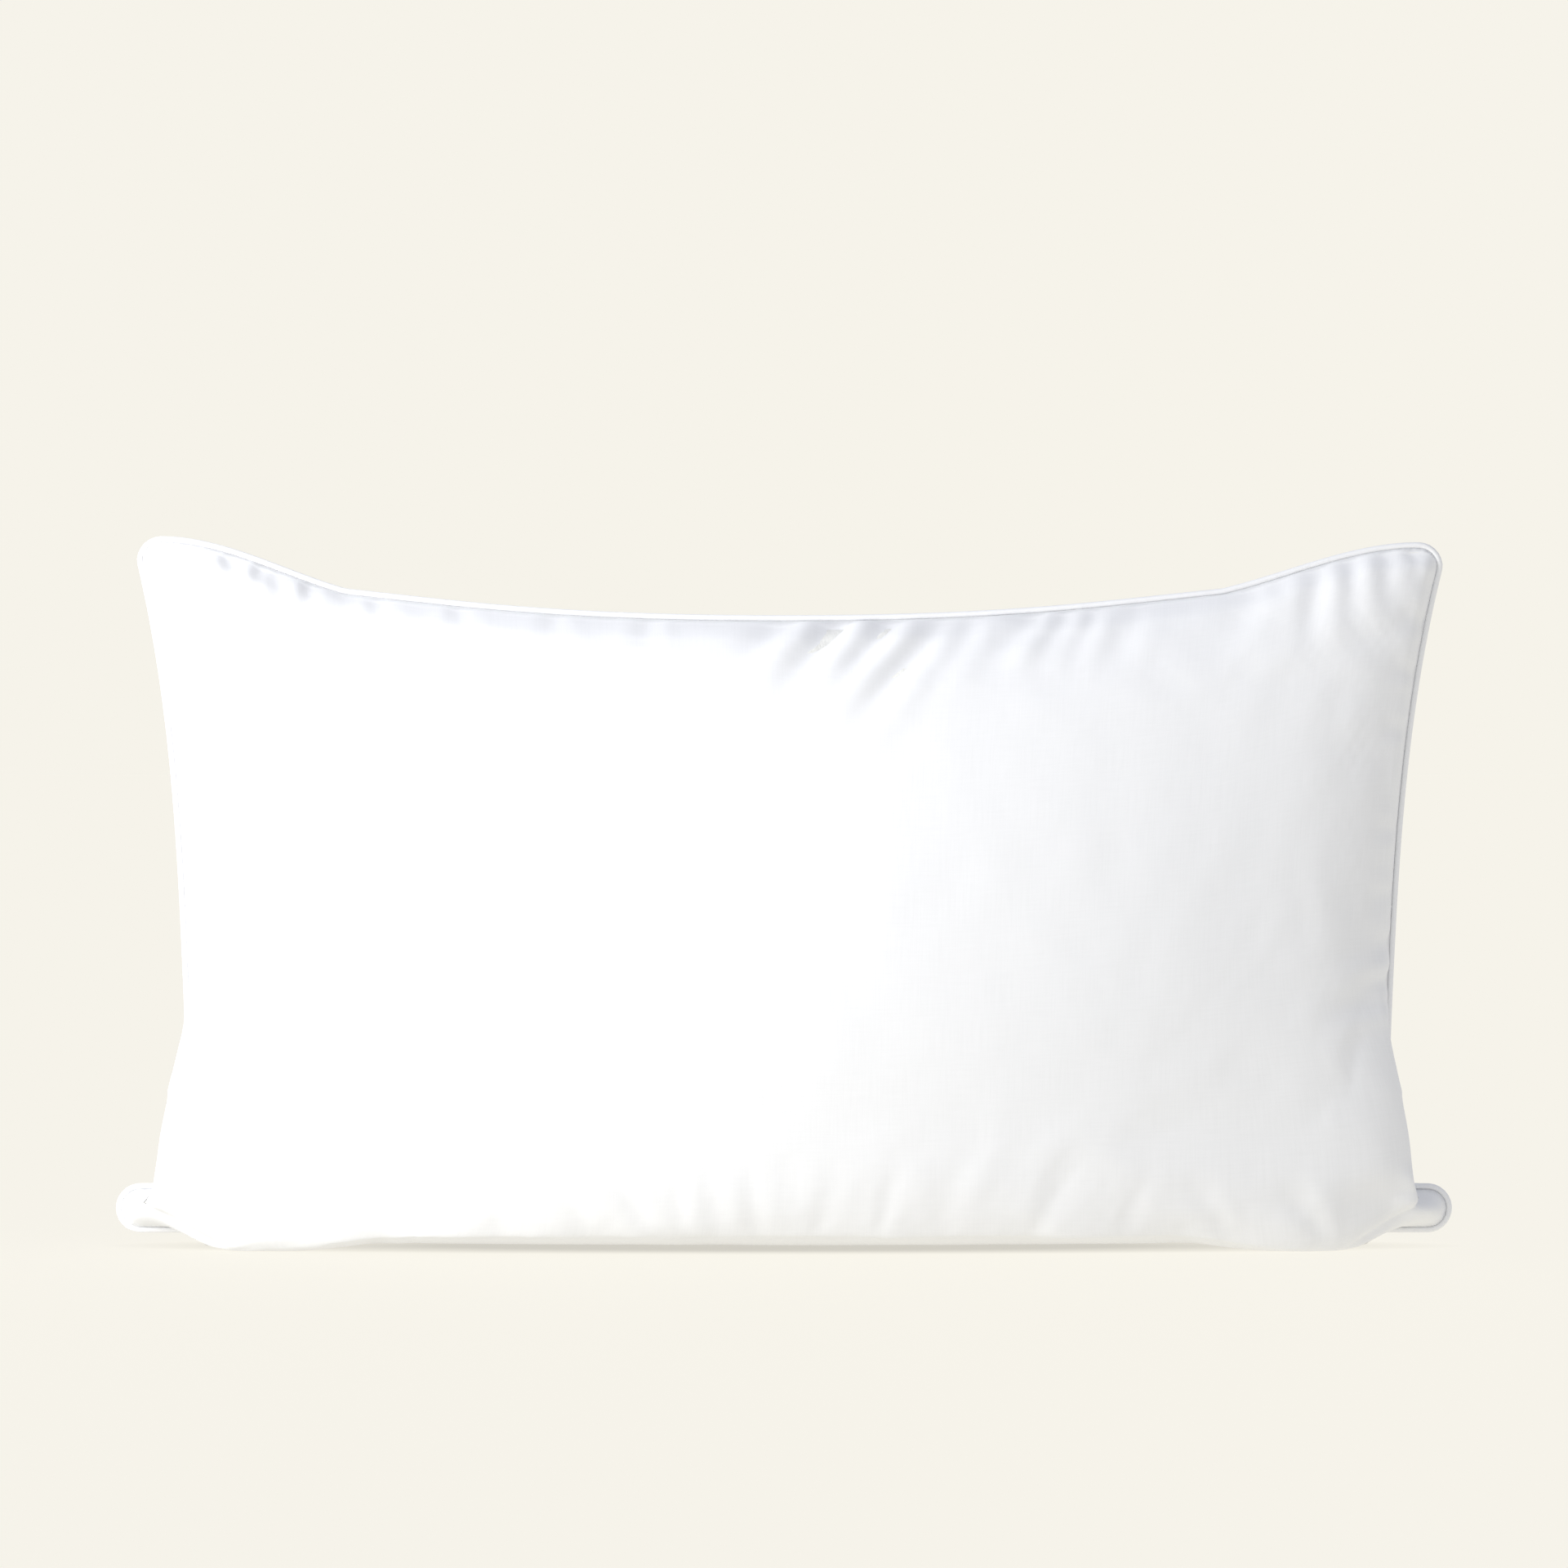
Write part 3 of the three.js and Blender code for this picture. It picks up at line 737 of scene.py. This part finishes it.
def ease_ears(panel, passes):
    """Smooths the cloth at the roots of the two lower ears, where it turns most sharply."""
    bm = bmesh.new()
    bm.from_mesh(panel.data)
    roots = [
        vert
        for vert in bm.verts
        if not vert.is_boundary
        and abs(vert.co.x) > PANEL_HIGH.x - ROOT_REACH
        and vert.co.z < ROOT_HEIGHT
    ]
    for _ in range(passes):
        bmesh.ops.smooth_vert(
            bm, verts=roots, factor=0.5, use_axis_x=True, use_axis_y=True, use_axis_z=True
        )
    bm.to_mesh(panel.data)
    bm.free()


EAR_PUFF = 5 * MM
EAR_REACH = 42 * MM
EAR_FADE, EAR_HEIGHT = 45 * MM, 60 * MM
EAR_ROUNDING = 5 * MM


def ear_puff(co):
    """How far the fill rounds out the two lower ears, level with the bead at their edge."""
    puff = np.zeros(len(co))
    inside = PANEL_HIGH.x - np.abs(co[:, 0])
    ears = np.nonzero((inside < EAR_REACH) & (co[:, 2] < EAR_HEIGHT))[0]
    flat = co[ears][:, [0, 2]]
    from_seam = np.sqrt(((flat[:, None] - RING[None]) ** 2).sum(axis=2).min(axis=1))
    share = 1 - smoothstep(inside[ears], EAR_REACH / 2, EAR_REACH)
    share *= 1 - smoothstep(co[ears, 2], EAR_FADE, EAR_HEIGHT)
    puff[ears] = EAR_PUFF * share * (1 - np.exp(-from_seam / EAR_ROUNDING))
    return puff


def press_folds(panel, folds, mirrored=False):
    """Presses the folds in along the cloth's normals, with a low lip on both sides of each."""
    co, normals = read_points(panel.data), read_normals(panel.data)
    hand = -1 if mirrored else 1
    sunk = np.zeros(len(co))
    for x0, z0, x1, z1, width, depth in folds:
        a = np.array([hand * (PANEL_LOW.x + x0 * FOLD_LENGTH), z0 * FOLD_HEIGHT])
        b = np.array([hand * (PANEL_LOW.x + x1 * FOLD_LENGTH), z1 * FOLD_HEIGHT])
        way = (b - a) / np.linalg.norm(b - a)
        flat = co[:, [0, 2]] - a
        along = flat @ way / np.linalg.norm(b - a)
        spread = width * MM * (FOLD_START + FOLD_WIDENING * np.clip(along, 0, FOLD_END))
        across = (flat @ np.array([-way[1], way[0]])) / spread
        taper = swell(along, *FOLD_TAPER)
        lips = np.exp(-((np.abs(across) - LIP_PLACE) ** 2))
        valley = np.exp(-(across**2)) - LIP_SHARE * lips
        sunk += depth * MM * valley * taper
    pressed = co - normals * sunk[:, None]
    pressed[:, 1] += np.sign(normals[:, 1].mean()) * ear_puff(co)
    pressed[:, 2] = np.maximum(pressed[:, 2], 0)
    write_points(panel.data, pressed)


# ---- fill --------------------------------------------------------------------------------------

FILL_STAND_OFF = 2.2 * MM
FILL_GROOVE = 9.5 * MM
FILL_LIP = 1.8 * MM
LUMP_DEPTH = 2 * MM
LUMP_SEED, LUMP_SIZE = 5, 5


def fill_from(panel, side, even):
    """The fill's skin on one side: the panel's, set in, with its edge along the seam's groove."""
    bm = bmesh.new()
    bm.from_mesh(panel.data)
    lumps = soft_noise(even, LUMP_SEED + side, LUMP_SIZE)
    lumps = np.abs(lumps) / np.abs(lumps).max()
    bm.verts.ensure_lookup_table()
    bm.normal_update()
    for vert, lump in zip(bm.verts, lumps):
        if not vert.is_boundary:
            vert.co -= vert.normal * (FILL_STAND_OFF + LUMP_DEPTH * lump)
            vert.co.y = side * max(side * vert.co.y, FILL_LIP)
    lay_along_seam([v for v in bm.verts if v.is_boundary], FILL_GROOVE, side * FILL_LIP)
    return bm


def make_fill(halves):
    mesh = bpy.data.meshes.new("fibre_halves")
    bm = bmesh.new()
    for half in halves:
        half.to_mesh(mesh)
        half.free()
        bm.from_mesh(mesh)
    bpy.data.meshes.remove(mesh)
    bmesh.ops.bridge_loops(bm, edges=[e for e in bm.edges if e.is_boundary])
    bmesh.ops.recalc_face_normals(bm, faces=bm.faces)
    return new_piece("fibre_mass", bm)


# ---- care label and closing stitches ------------------------------------------------------------

LABEL_STAND_OFF = 0.5 * MM
LABEL_TOP_DROP = 2.5 * MM
LABEL_SLACK = 1.22  # its way along the cloth against its height
LABEL_CURL = 0.7 * MM
RIBBON = 0.35 * MM

STITCH_POINTS = 50
STITCH_SLANT, STITCH_SWING, STITCH_DIP = 0.6 * MM, 0.7 * MM, 0.1 * MM


def top_seam_height(x):
    return np.interp(x, SEAMS["top"].points[:, 0], SEAMS["top"].points[:, 1])


def ribbon_length():
    """The ribbon's length along the crowned cloth, from its free end up to the seam."""
    middle = (LABEL_LOW.x + LABEL_HIGH.x) / 2
    return (top_seam_height(middle) - LABEL_LOW.z) * LABEL_SLACK


def make_label(back):
    """A ribbon that hangs from the top seam and follows the back panel, with a slight curl."""
    bm = bmesh.new()
    bmesh.ops.create_grid(bm, x_segments=12, y_segments=22, size=0.5)
    uv = bm.loops.layers.uv.new("ribbon")
    wide, tall = LABEL_HIGH.x - LABEL_LOW.x, ribbon_length()
    for face in bm.faces:
        for loop in face.loops:
            x, y = loop.vert.co[:2]
            loop[uv].uv = ((x + 0.5) * wide, (y + 0.5) * tall)
    bm.verts.ensure_lookup_table()
    for vert in bm.verts:
        across, up = vert.co.x + 0.5, vert.co.y + 0.5
        x = LABEL_LOW.x + wide * across
        top = top_seam_height(x) - LABEL_TOP_DROP
        z = LABEL_LOW.z + (top - LABEL_LOW.z) * up
        behind = Vector((x, 3 * HALF_THICKNESS, z))
        hit, place, normal, _ = back.ray_cast(behind, Vector((0, -1, 0)))
        if not hit:
            raise RuntimeError("the label found no cloth under it")
        turned = 0.6 + 0.4 * math.cos(math.pi * (across - 0.2))
        curl = LABEL_CURL * (1 - up) ** 2 * turned
        vert.co = place + normal * (LABEL_STAND_OFF + curl)
    bmesh.ops.reverse_faces(bm, faces=bm.faces)
    label = new_piece("care_ribbon", bm)
    wall = label.modifiers.new("ribbon", "SOLIDIFY")
    wall.thickness = RIBBON
    wall.offset = 1
    return label


def make_closing_stitches(radius):
    """Slanted hand stitches over the bottom seam's back edge, where the fill went in."""
    low, high = CLOSING_LOW, CLOSING_HIGH
    middle = (low + high) / 2
    curve = bpy.data.curves.new("closing_stitches", "CURVE")
    curve.dimensions = "3D"
    curve.bevel_depth = radius
    curve.bevel_resolution = 2
    curve.use_fill_caps = True
    line = curve.splines.new("NURBS")
    line.points.add(STITCH_POINTS - 1)
    for k, point in enumerate(line.points):
        share = k / (STITCH_POINTS - 1)
        swing = 1 if k % 2 else -1
        x = low.x + (high.x - low.x) * share + swing * STITCH_SLANT
        y, z = middle.y + swing * STITCH_SWING, middle.z - STITCH_DIP * (swing + 1)
        point.co = (x, y, z, 1)
    line.use_endpoint_u = True
    line.order_u = 3
    line.resolution_u = 4
    made = bpy.data.objects.new("closing_stitches", curve)
    bpy.context.scene.collection.objects.link(made)
    bpy.context.view_layer.update()
    shaped = made.evaluated_get(bpy.context.evaluated_depsgraph_get())
    mesh = bpy.data.meshes.new_from_object(shaped)
    bpy.data.objects.remove(made)
    bm = bmesh.new()
    bm.from_mesh(mesh)
    bmesh.ops.remove_doubles(bm, verts=bm.verts, dist=MERGE)
    bmesh.ops.recalc_face_normals(bm, faces=bm.faces)
    bpy.data.meshes.remove(mesh)
    return new_piece("closing_stitches", bm)


# ---- materials -------------------------------------------------------------------------------


def add_node(tree, kind, settings=None, links=None):
    """Adds a node: settings are {property or socket: value}, links are {socket: output}."""
    node = tree.nodes.new("ShaderNode" + kind)
    for key, value in (settings or {}).items():
        if isinstance(key, int) or key in node.inputs:
            node.inputs[key].default_value = value
        else:
            setattr(node, key, value)
    for key, output in (links or {}).items():
        tree.links.new(output, node.inputs[key])
    return node


def new_material(name, colour, roughness, sheen=0.0, sheen_roughness=0.5):
    """A material of one shader, with the values that are the same all over it."""
    material = bpy.data.materials.new(name)
    material.use_nodes = True
    shader = material.node_tree.nodes["Principled BSDF"]
    shader.inputs["Base Color"].default_value = colour
    shader.inputs["Roughness"].default_value = roughness
    shader.inputs["Sheen Weight"].default_value = sheen
    shader.inputs["Sheen Roughness"].default_value = sheen_roughness
    return material, material.node_tree, shader


def bands(pitch):
    """The Wave node's scale for one band to each pitch, in metres."""
    return math.pi / 10 / pitch


def woven_height(tree, uv_name, warp_pitch, weft_pitch, turn=0.0, float_share=0.25):
    """Height of a weave in the cloth's own map: warp floats over the weft, as on a sateen."""
    cut = add_node(tree, "UVMap", {"uv_map": uv_name})
    turned = {"Rotation": (0, 0, turn)}
    laid = add_node(tree, "Mapping", turned, {"Vector": cut.outputs[0]})
    warp = add_node(
        tree,
        "TexWave",
        {"bands_direction": "X", "Scale": bands(warp_pitch), "Distortion": 0.6, "Detail": 1.0},
        {"Vector": laid.outputs[0]},
    )
    weft = add_node(
        tree,
        "TexWave",
        {"bands_direction": "Y", "Scale": bands(weft_pitch), "Distortion": 0.6, "Detail": 1.0},
        {"Vector": laid.outputs[0]},
    )
    height = add_node(
        tree,
        "Mix",
        {"data_type": "FLOAT", "Factor": float_share},
        {"A": warp.outputs["Fac"], "B": weft.outputs["Fac"]},
    )
    return laid, height


def thread_slubs(tree, laid, wide, tall):
    """Threads that run a little thick and thin, as streaks wide by tall in metres."""
    stretched = add_node(
        tree, "Mapping", {"Scale": (1 / wide, 1 / tall, 1)}, {"Vector": laid.outputs[0]}
    )
    return add_node(
        tree,
        "TexNoise",
        {"Scale": 1.0, "Detail": 3.0, "Roughness": 0.55},
        {"Vector": stretched.outputs[0]},
    )


# Cotton sateen, woven and bleached: warp threads float on the face, so it is smooth with a low
# silky gleam. Real threads lie 0.12 mm apart; they are drawn four times as coarse so they show.
def cotton_sateen(name, colour, uv_name, turn=0.0):
    material, tree, shader = new_material(name, colour, 0.68, sheen=0.18, sheen_roughness=0.35)
    laid, weave = woven_height(tree, uv_name, 0.48 * MM, 0.6 * MM, turn)
    slubs = thread_slubs(tree, laid, 1.1 * MM, 34 * MM)
    cross_slubs = thread_slubs(tree, laid, 26 * MM, 1.3 * MM)
    streaks = add_node(
        tree,
        "Mix",
        {"data_type": "FLOAT", "Factor": 0.4},
        {"A": slubs.outputs["Fac"], "B": cross_slubs.outputs["Fac"]},
    )
    darker = tuple(c * 0.972 for c in colour[:3]) + (1.0,)
    tone = add_node(tree, "ValToRGB", links={"Fac": streaks.outputs[0]})
    tone.color_ramp.elements[0].position = 0.36
    tone.color_ramp.elements[0].color = darker
    tone.color_ramp.elements[1].position = 0.6
    tone.color_ramp.elements[1].color = colour
    tree.links.new(tone.outputs["Color"], shader.inputs["Base Color"])
    gleam = add_node(
        tree,
        "MapRange",
        {"From Min": 0.3, "From Max": 0.7, "To Min": 0.6, "To Max": 0.76},
        {"Value": streaks.outputs[0]},
    )
    tree.links.new(gleam.outputs[0], shader.inputs["Roughness"])
    thick = add_node(
        tree, "Bump", {"Strength": 0.3, "Distance": 0.06 * MM}, {"Height": streaks.outputs[0]}
    )
    threads = add_node(
        tree,
        "Bump",
        {"Strength": 0.35, "Distance": 0.035 * MM},
        {"Height": weave.outputs[0], "Normal": thick.outputs[0]},
    )
    tree.links.new(threads.outputs[0], shader.inputs["Normal"])
    return material


# Cotton filler twine, three plies of soft unbleached yarn: matt, creamy, with fine hairs.
def filler_twine(colour):
    material, tree, shader = new_material("cotton filler twine", colour, 0.92, sheen=0.3)
    along = add_node(tree, "UVMap", {"uv_map": "along seam"})
    lean = {"Rotation": (0, 0, 0.9)}
    leaning = add_node(tree, "Mapping", lean, {"Vector": along.outputs[0]})
    yarns = add_node(
        tree,
        "TexWave",
        {"Scale": bands(0.35 * MM), "Distortion": 1.5, "Detail": 2.0},
        {"Vector": leaning.outputs[0]},
    )
    relief = add_node(
        tree, "Bump", {"Strength": 0.6, "Distance": 0.05 * MM}, {"Height": yarns.outputs["Fac"]}
    )
    tree.links.new(relief.outputs[0], shader.inputs["Normal"])
    return material


# Polyester hollow fibre, blown and matted: a dull white fleece of curled hairs in soft clumps.
def blown_fibre(colour):
    material, tree, shader = new_material("blown polyester fibre", colour, 0.95, sheen=0.5)
    place = add_node(tree, "TexCoord")
    clumps = add_node(
        tree,
        "TexNoise",
        {"Scale": 1 / (18 * MM), "Detail": 4.0, "Roughness": 0.6},
        {"Vector": place.outputs["Object"]},
    )
    hairs = add_node(
        tree,
        "TexWave",
        {"Scale": bands(1.2 * MM), "Distortion": 14.0, "Detail": 3.0, "Detail Scale": 1.5},
        {"Vector": place.outputs["Object"]},
    )
    # Painted shade: the fleece is coloured darker where the clumps' bump is low, in the hollows
    # between them.
    painted_hollow_shade = add_node(tree, "ValToRGB", links={"Fac": clumps.outputs["Fac"]})
    painted_hollow_shade.color_ramp.elements[0].position = 0.3
    painted_hollow_shade.color_ramp.elements[0].color = tuple(c * 0.86 for c in colour[:3]) + (1.0,)
    painted_hollow_shade.color_ramp.elements[1].position = 0.65
    painted_hollow_shade.color_ramp.elements[1].color = colour
    tree.links.new(painted_hollow_shade.outputs["Color"], shader.inputs["Base Color"])
    soft = add_node(
        tree, "Bump", {"Strength": 0.8, "Distance": 2.5 * MM}, {"Height": clumps.outputs["Fac"]}
    )
    fine = add_node(
        tree,
        "Bump",
        {"Strength": 0.5, "Distance": 0.3 * MM},
        {"Height": hairs.outputs["Fac"], "Normal": soft.outputs[0]},
    )
    tree.links.new(fine.outputs[0], shader.inputs["Normal"])
    return material


# Spun polyester sewing thread, two plies: a dry white thread with a faint gleam.
def sewing_thread(colour):
    material, tree, shader = new_material("spun sewing thread", colour, 0.5, sheen=0.1)
    place = add_node(tree, "TexCoord")
    plies = add_node(
        tree,
        "TexWave",
        {"bands_direction": "DIAGONAL", "Scale": bands(0.6 * MM), "Distortion": 0.4},
        {"Vector": place.outputs["Object"]},
    )
    relief = add_node(
        tree, "Bump", {"Strength": 0.5, "Distance": 0.05 * MM}, {"Height": plies.outputs["Fac"]}
    )
    tree.links.new(relief.outputs[0], shader.inputs["Normal"])
    return material


# Polyester satin ribbon, woven narrow with firm selvedges: smooth, closely ribbed across, glossier
# than the cover. It is left blank.
def satin_ribbon(colour, width):
    material, tree, shader = new_material("satin label ribbon", colour, 0.42, sheen=0.1)
    laid, weave = woven_height(tree, "ribbon", 0.4 * MM, 0.5 * MM, float_share=0.75)
    across = add_node(tree, "SeparateXYZ", links={"Vector": laid.outputs[0]})
    edge = add_node(
        tree,
        "MapRange",
        {"From Min": width / 2 - 2.2 * MM, "From Max": width / 2 - 1.6 * MM, "To Max": 1.0},
    )
    centred = add_node(
        tree, "Math", {"operation": "SUBTRACT", 1: width / 2}, {0: across.outputs["X"]}
    )
    unsigned = {"operation": "ABSOLUTE"}
    off_middle = add_node(tree, "Math", unsigned, {0: centred.outputs[0]})
    tree.links.new(off_middle.outputs[0], edge.inputs["Value"])
    selvedge = add_node(
        tree, "Bump", {"Strength": 0.6, "Distance": 0.15 * MM}, {"Height": edge.outputs[0]}
    )
    ribs = add_node(
        tree,
        "Bump",
        {"Strength": 0.5, "Distance": 0.04 * MM},
        {"Height": weave.outputs[0], "Normal": selvedge.outputs[0]},
    )
    tree.links.new(ribs.outputs[0], shader.inputs["Normal"])
    return material


def finish_piece(piece, node, material):
    """Gives the piece its finish and lets it stand for its node in the part."""
    piece.data.materials.clear()
    piece.data.materials.append(material)
    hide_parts(node)
    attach(piece, "root")


class PILLOW_OT_cover(Operator):
    """Makes the two cotton panels, filled and settled, and the fill inside them."""

    bl_idname = "pillow.cover"
    bl_label = "Cover and fill"

    def execute(self, context):
        settings = context.scene.pillow_cover
        cotton = cotton_sateen("cotton sateen", settings.colour, "cut")
        halves = []
        for name, side, seed in (("front_panel", -1, 3), ("back_panel", 1, 11)):
            panel, half = make_panel(name.replace("panel", "cloth"), side, seed)
            halves.append(half)
            finish_piece(panel, name, cotton)
        fill = make_fill(halves)
        finish_piece(fill, "fibre_fill", blown_fibre(linear("#F6F6F2")))
        return {"FINISHED"}


class PILLOW_OT_edging(Operator):
    """Makes the corded edge: the bias strip and the cord in it."""

    bl_idname = "pillow.edging"
    bl_label = "Corded edge"

    def execute(self, context):
        settings, trim = context.scene.pillow_cover, context.scene.pillow_trim
        strip = sweep_round_seam("bias_strip", strip_outline)
        bias_turn = math.pi / 4
        name = "cotton sateen on the bias"
        bias = cotton_sateen(name, settings.colour, "along seam", bias_turn)
        finish_piece(strip, "edging_strip", bias)
        cord_radius = (CORD_HIGH.y - CORD_LOW.y) / 2
        outline = round_outline(
            BEAD_SNUG - BEAD_OFFSET, 0, cord_radius, 18, plies=3, lay=trim.cord_lay
        )
        cord = sweep_round_seam("filler_twine", outline)
        finish_piece(cord, "edging_cord", filler_twine(trim.cord_colour))
        return {"FINISHED"}


class PILLOW_OT_stitching(Operator):
    """Makes the seam's two threads and the hand stitches that close it."""

    bl_idname = "pillow.stitching"
    bl_label = "Stitching"

    def execute(self, context):
        settings = context.scene.pillow_trim
        thread = sewing_thread(settings.thread_colour)
        radius = settings.thread_radius
        depth = THREAD_HIGH.y - radius
        for node, name, side in (
            ("needle_thread", "needle_stitching", -1),
            ("bobbin_thread", "bobbin_stitching", 1),
        ):
            outline = round_outline(STITCH_INSET, side * depth, radius, 8, plies=2, lay=3 * MM)
            finish_piece(sweep_round_seam(name, outline), node, thread)
        finish_piece(make_closing_stitches(radius), "closing_thread", thread)
        return {"FINISHED"}


class PILLOW_OT_label(Operator):
    """Hangs the blank care ribbon on the back."""

    bl_idname = "pillow.label"
    bl_label = "Care ribbon"

    def execute(self, context):
        settings = context.scene.pillow_trim
        label = make_label(bpy.data.objects["back_cloth"])
        wide = LABEL_HIGH.x - LABEL_LOW.x
        finish_piece(label, "care_label", satin_ribbon(settings.label_colour, wide))
        return {"FINISHED"}


FLOOR_REACH = 20
# The painted shadow on the floor: a patch round the pillow's place where the floor glows less.
PAINTED_SHADOW_SIZE = (0.46, 0.062)  # half sizes of the patch of floor under the pillow
# A light's size, its place and where it points.
KEY_LIGHT = ((1.0, 1.0), (-1.3, -0.9, 0.7), (-0.1, 0, 0.25))
TOP_LIGHT = ((0.8, 0.8), (-0.9, -0.45, 1.5), (-0.15, 0, 0.45))
CAMERA_LENS = 135
CAMERA_AIM = (0, 0, 0.311)


def soft_light(name, power, size, place, aim):
    """A square soft light, turned to its aim."""
    data = bpy.data.lights.new(name, "AREA")
    data.shape = "RECTANGLE"
    data.size, data.size_y = size
    data.energy = power
    light = bpy.data.objects.new(name, data)
    bpy.context.scene.collection.objects.link(light)
    light.location = place
    light.rotation_euler = (Vector(place) - Vector(aim)).to_track_quat("Z", "Y").to_euler()
    return light


def studio_world(scene):
    """Even light from a pale room, in front of paper of the floor's colour."""
    world = bpy.data.worlds.new("studio")
    scene.world = world
    world.use_nodes = True
    tree = world.node_tree
    room = tree.nodes["Background"]
    room.inputs["Color"].default_value = ROOM_LIGHT
    room.inputs["Strength"].default_value = ROOM_STRENGTH
    paper = add_node(tree, "Background", {"Color": PAPER, "Strength": 1.0})
    path = add_node(tree, "LightPath")
    mix = add_node(tree, "MixShader")
    tree.links.new(path.outputs["Is Camera Ray"], mix.inputs[0])
    tree.links.new(room.outputs[0], mix.inputs[1])
    tree.links.new(paper.outputs[0], mix.inputs[2])
    tree.links.new(mix.outputs[0], tree.nodes["World Output"].inputs[0])


def paper_floor():
    """Matt paper that glows a little, so that the far floor meets the paper behind, with its glow
    turned down round the pillow's place as a painted shadow.
    """
    lit = [p * (1 - PAPER_GLOW) / (ROOM_STRENGTH * r) for p, r in zip(PAPER[:3], ROOM_LIGHT)]
    material, tree, shader = new_material("matt paper", (*lit, 1.0), 0.9)
    shader.inputs["Specular IOR Level"].default_value = 0
    shader.inputs["Emission Color"].default_value = PAPER
    place = add_node(tree, "TexCoord")
    shadow_patch = add_node(
        tree,
        "Mapping",
        {"Scale": (1 / PAINTED_SHADOW_SIZE[0], 1 / PAINTED_SHADOW_SIZE[1], 1)},
        {"Vector": place.outputs["Object"]},
    )
    # Painted shadow: the glow drops towards the middle of the patch under the pillow.
    shade = add_node(
        tree, "TexGradient", {"gradient_type": "SPHERICAL"}, {"Vector": shadow_patch.outputs[0]}
    )
    glow = add_node(
        tree,
        "MapRange",
        {"From Min": 0, "From Max": 0.5, "To Min": PAPER_GLOW, "To Max": SHADED_GLOW},
        {"Value": shade.outputs["Fac"]},
    )
    tree.links.new(glow.outputs[0], shader.inputs["Emission Strength"])
    return material


class PILLOW_OT_stage(Operator):
    """Lays the floor, hangs the lights and sets the camera."""

    bl_idname = "pillow.stage"
    bl_label = "Stage"

    def execute(self, context):
        scene = context.scene
        settings = scene.pillow_stage
        scene.view_settings.view_transform = "Standard"
        bm = bmesh.new()
        bmesh.ops.create_grid(bm, x_segments=1, y_segments=1, size=FLOOR_REACH)
        floor = new_piece("floor", bm)
        floor.data.materials.append(paper_floor())
        floor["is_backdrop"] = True
        studio_world(scene)
        key = soft_light("key", settings.key_power, *KEY_LIGHT)
        top = soft_light("top", settings.top_power, *TOP_LIGHT)
        lit = bpy.data.collections.new("lit by the key")
        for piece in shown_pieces():
            lit.objects.link(piece)
        key.light_linking.receiver_collection = lit
        top.light_linking.receiver_collection = lit
        camera_data = bpy.data.cameras.new("camera")
        camera_data.lens = CAMERA_LENS
        camera = bpy.data.objects.new("camera", camera_data)
        scene.collection.objects.link(camera)
        aim = Vector(CAMERA_AIM)
        rise = settings.camera_rise
        back = settings.camera_distance * Vector((0, -math.cos(rise), math.sin(rise)))
        camera.location = aim + back
        camera.rotation_euler = (aim - camera.location).to_track_quat("-Z", "Y").to_euler()
        scene.camera = camera
        return {"FINISHED"}


class PILLOW_PT_builder(Panel):
    """The pillow's settings, each above the button that builds with them."""

    bl_idname = "PILLOW_PT_builder"
    bl_label = "Corded Bed Pillow"
    bl_space_type = "VIEW_3D"
    bl_region_type = "UI"
    bl_category = "Pillow"

    def draw(self, context):
        for settings, operators in (
            (context.scene.pillow_cover, ("pillow.cover",)),
            (context.scene.pillow_trim, ("pillow.edging", "pillow.stitching", "pillow.label")),
            (context.scene.pillow_stage, ("pillow.stage",)),
        ):
            box = self.layout.box()
            for name in settings.__annotations__:
                box.prop(settings, name)
            for operator in operators:
                box.operator(operator)


CLASSES = (
    CoverSettings,
    TrimSettings,
    StageSettings,
    PILLOW_OT_cover,
    PILLOW_OT_edging,
    PILLOW_OT_stitching,
    PILLOW_OT_label,
    PILLOW_OT_stage,
    PILLOW_PT_builder,
)


def register():
    for cls in CLASSES:
        bpy.utils.register_class(cls)
    bpy.types.Scene.pillow_cover = PointerProperty(type=CoverSettings)
    bpy.types.Scene.pillow_trim = PointerProperty(type=TrimSettings)
    bpy.types.Scene.pillow_stage = PointerProperty(type=StageSettings)


def unregister():
    del bpy.types.Scene.pillow_stage
    del bpy.types.Scene.pillow_trim
    del bpy.types.Scene.pillow_cover
    for cls in reversed(CLASSES):
        bpy.utils.unregister_class(cls)


def main():
    register()
    bpy.ops.pillow.cover()
    bpy.ops.pillow.edging()
    bpy.ops.pillow.stitching()
    bpy.ops.pillow.label()
    bpy.ops.pillow.stage()


if __name__ == "__main__":
    main()
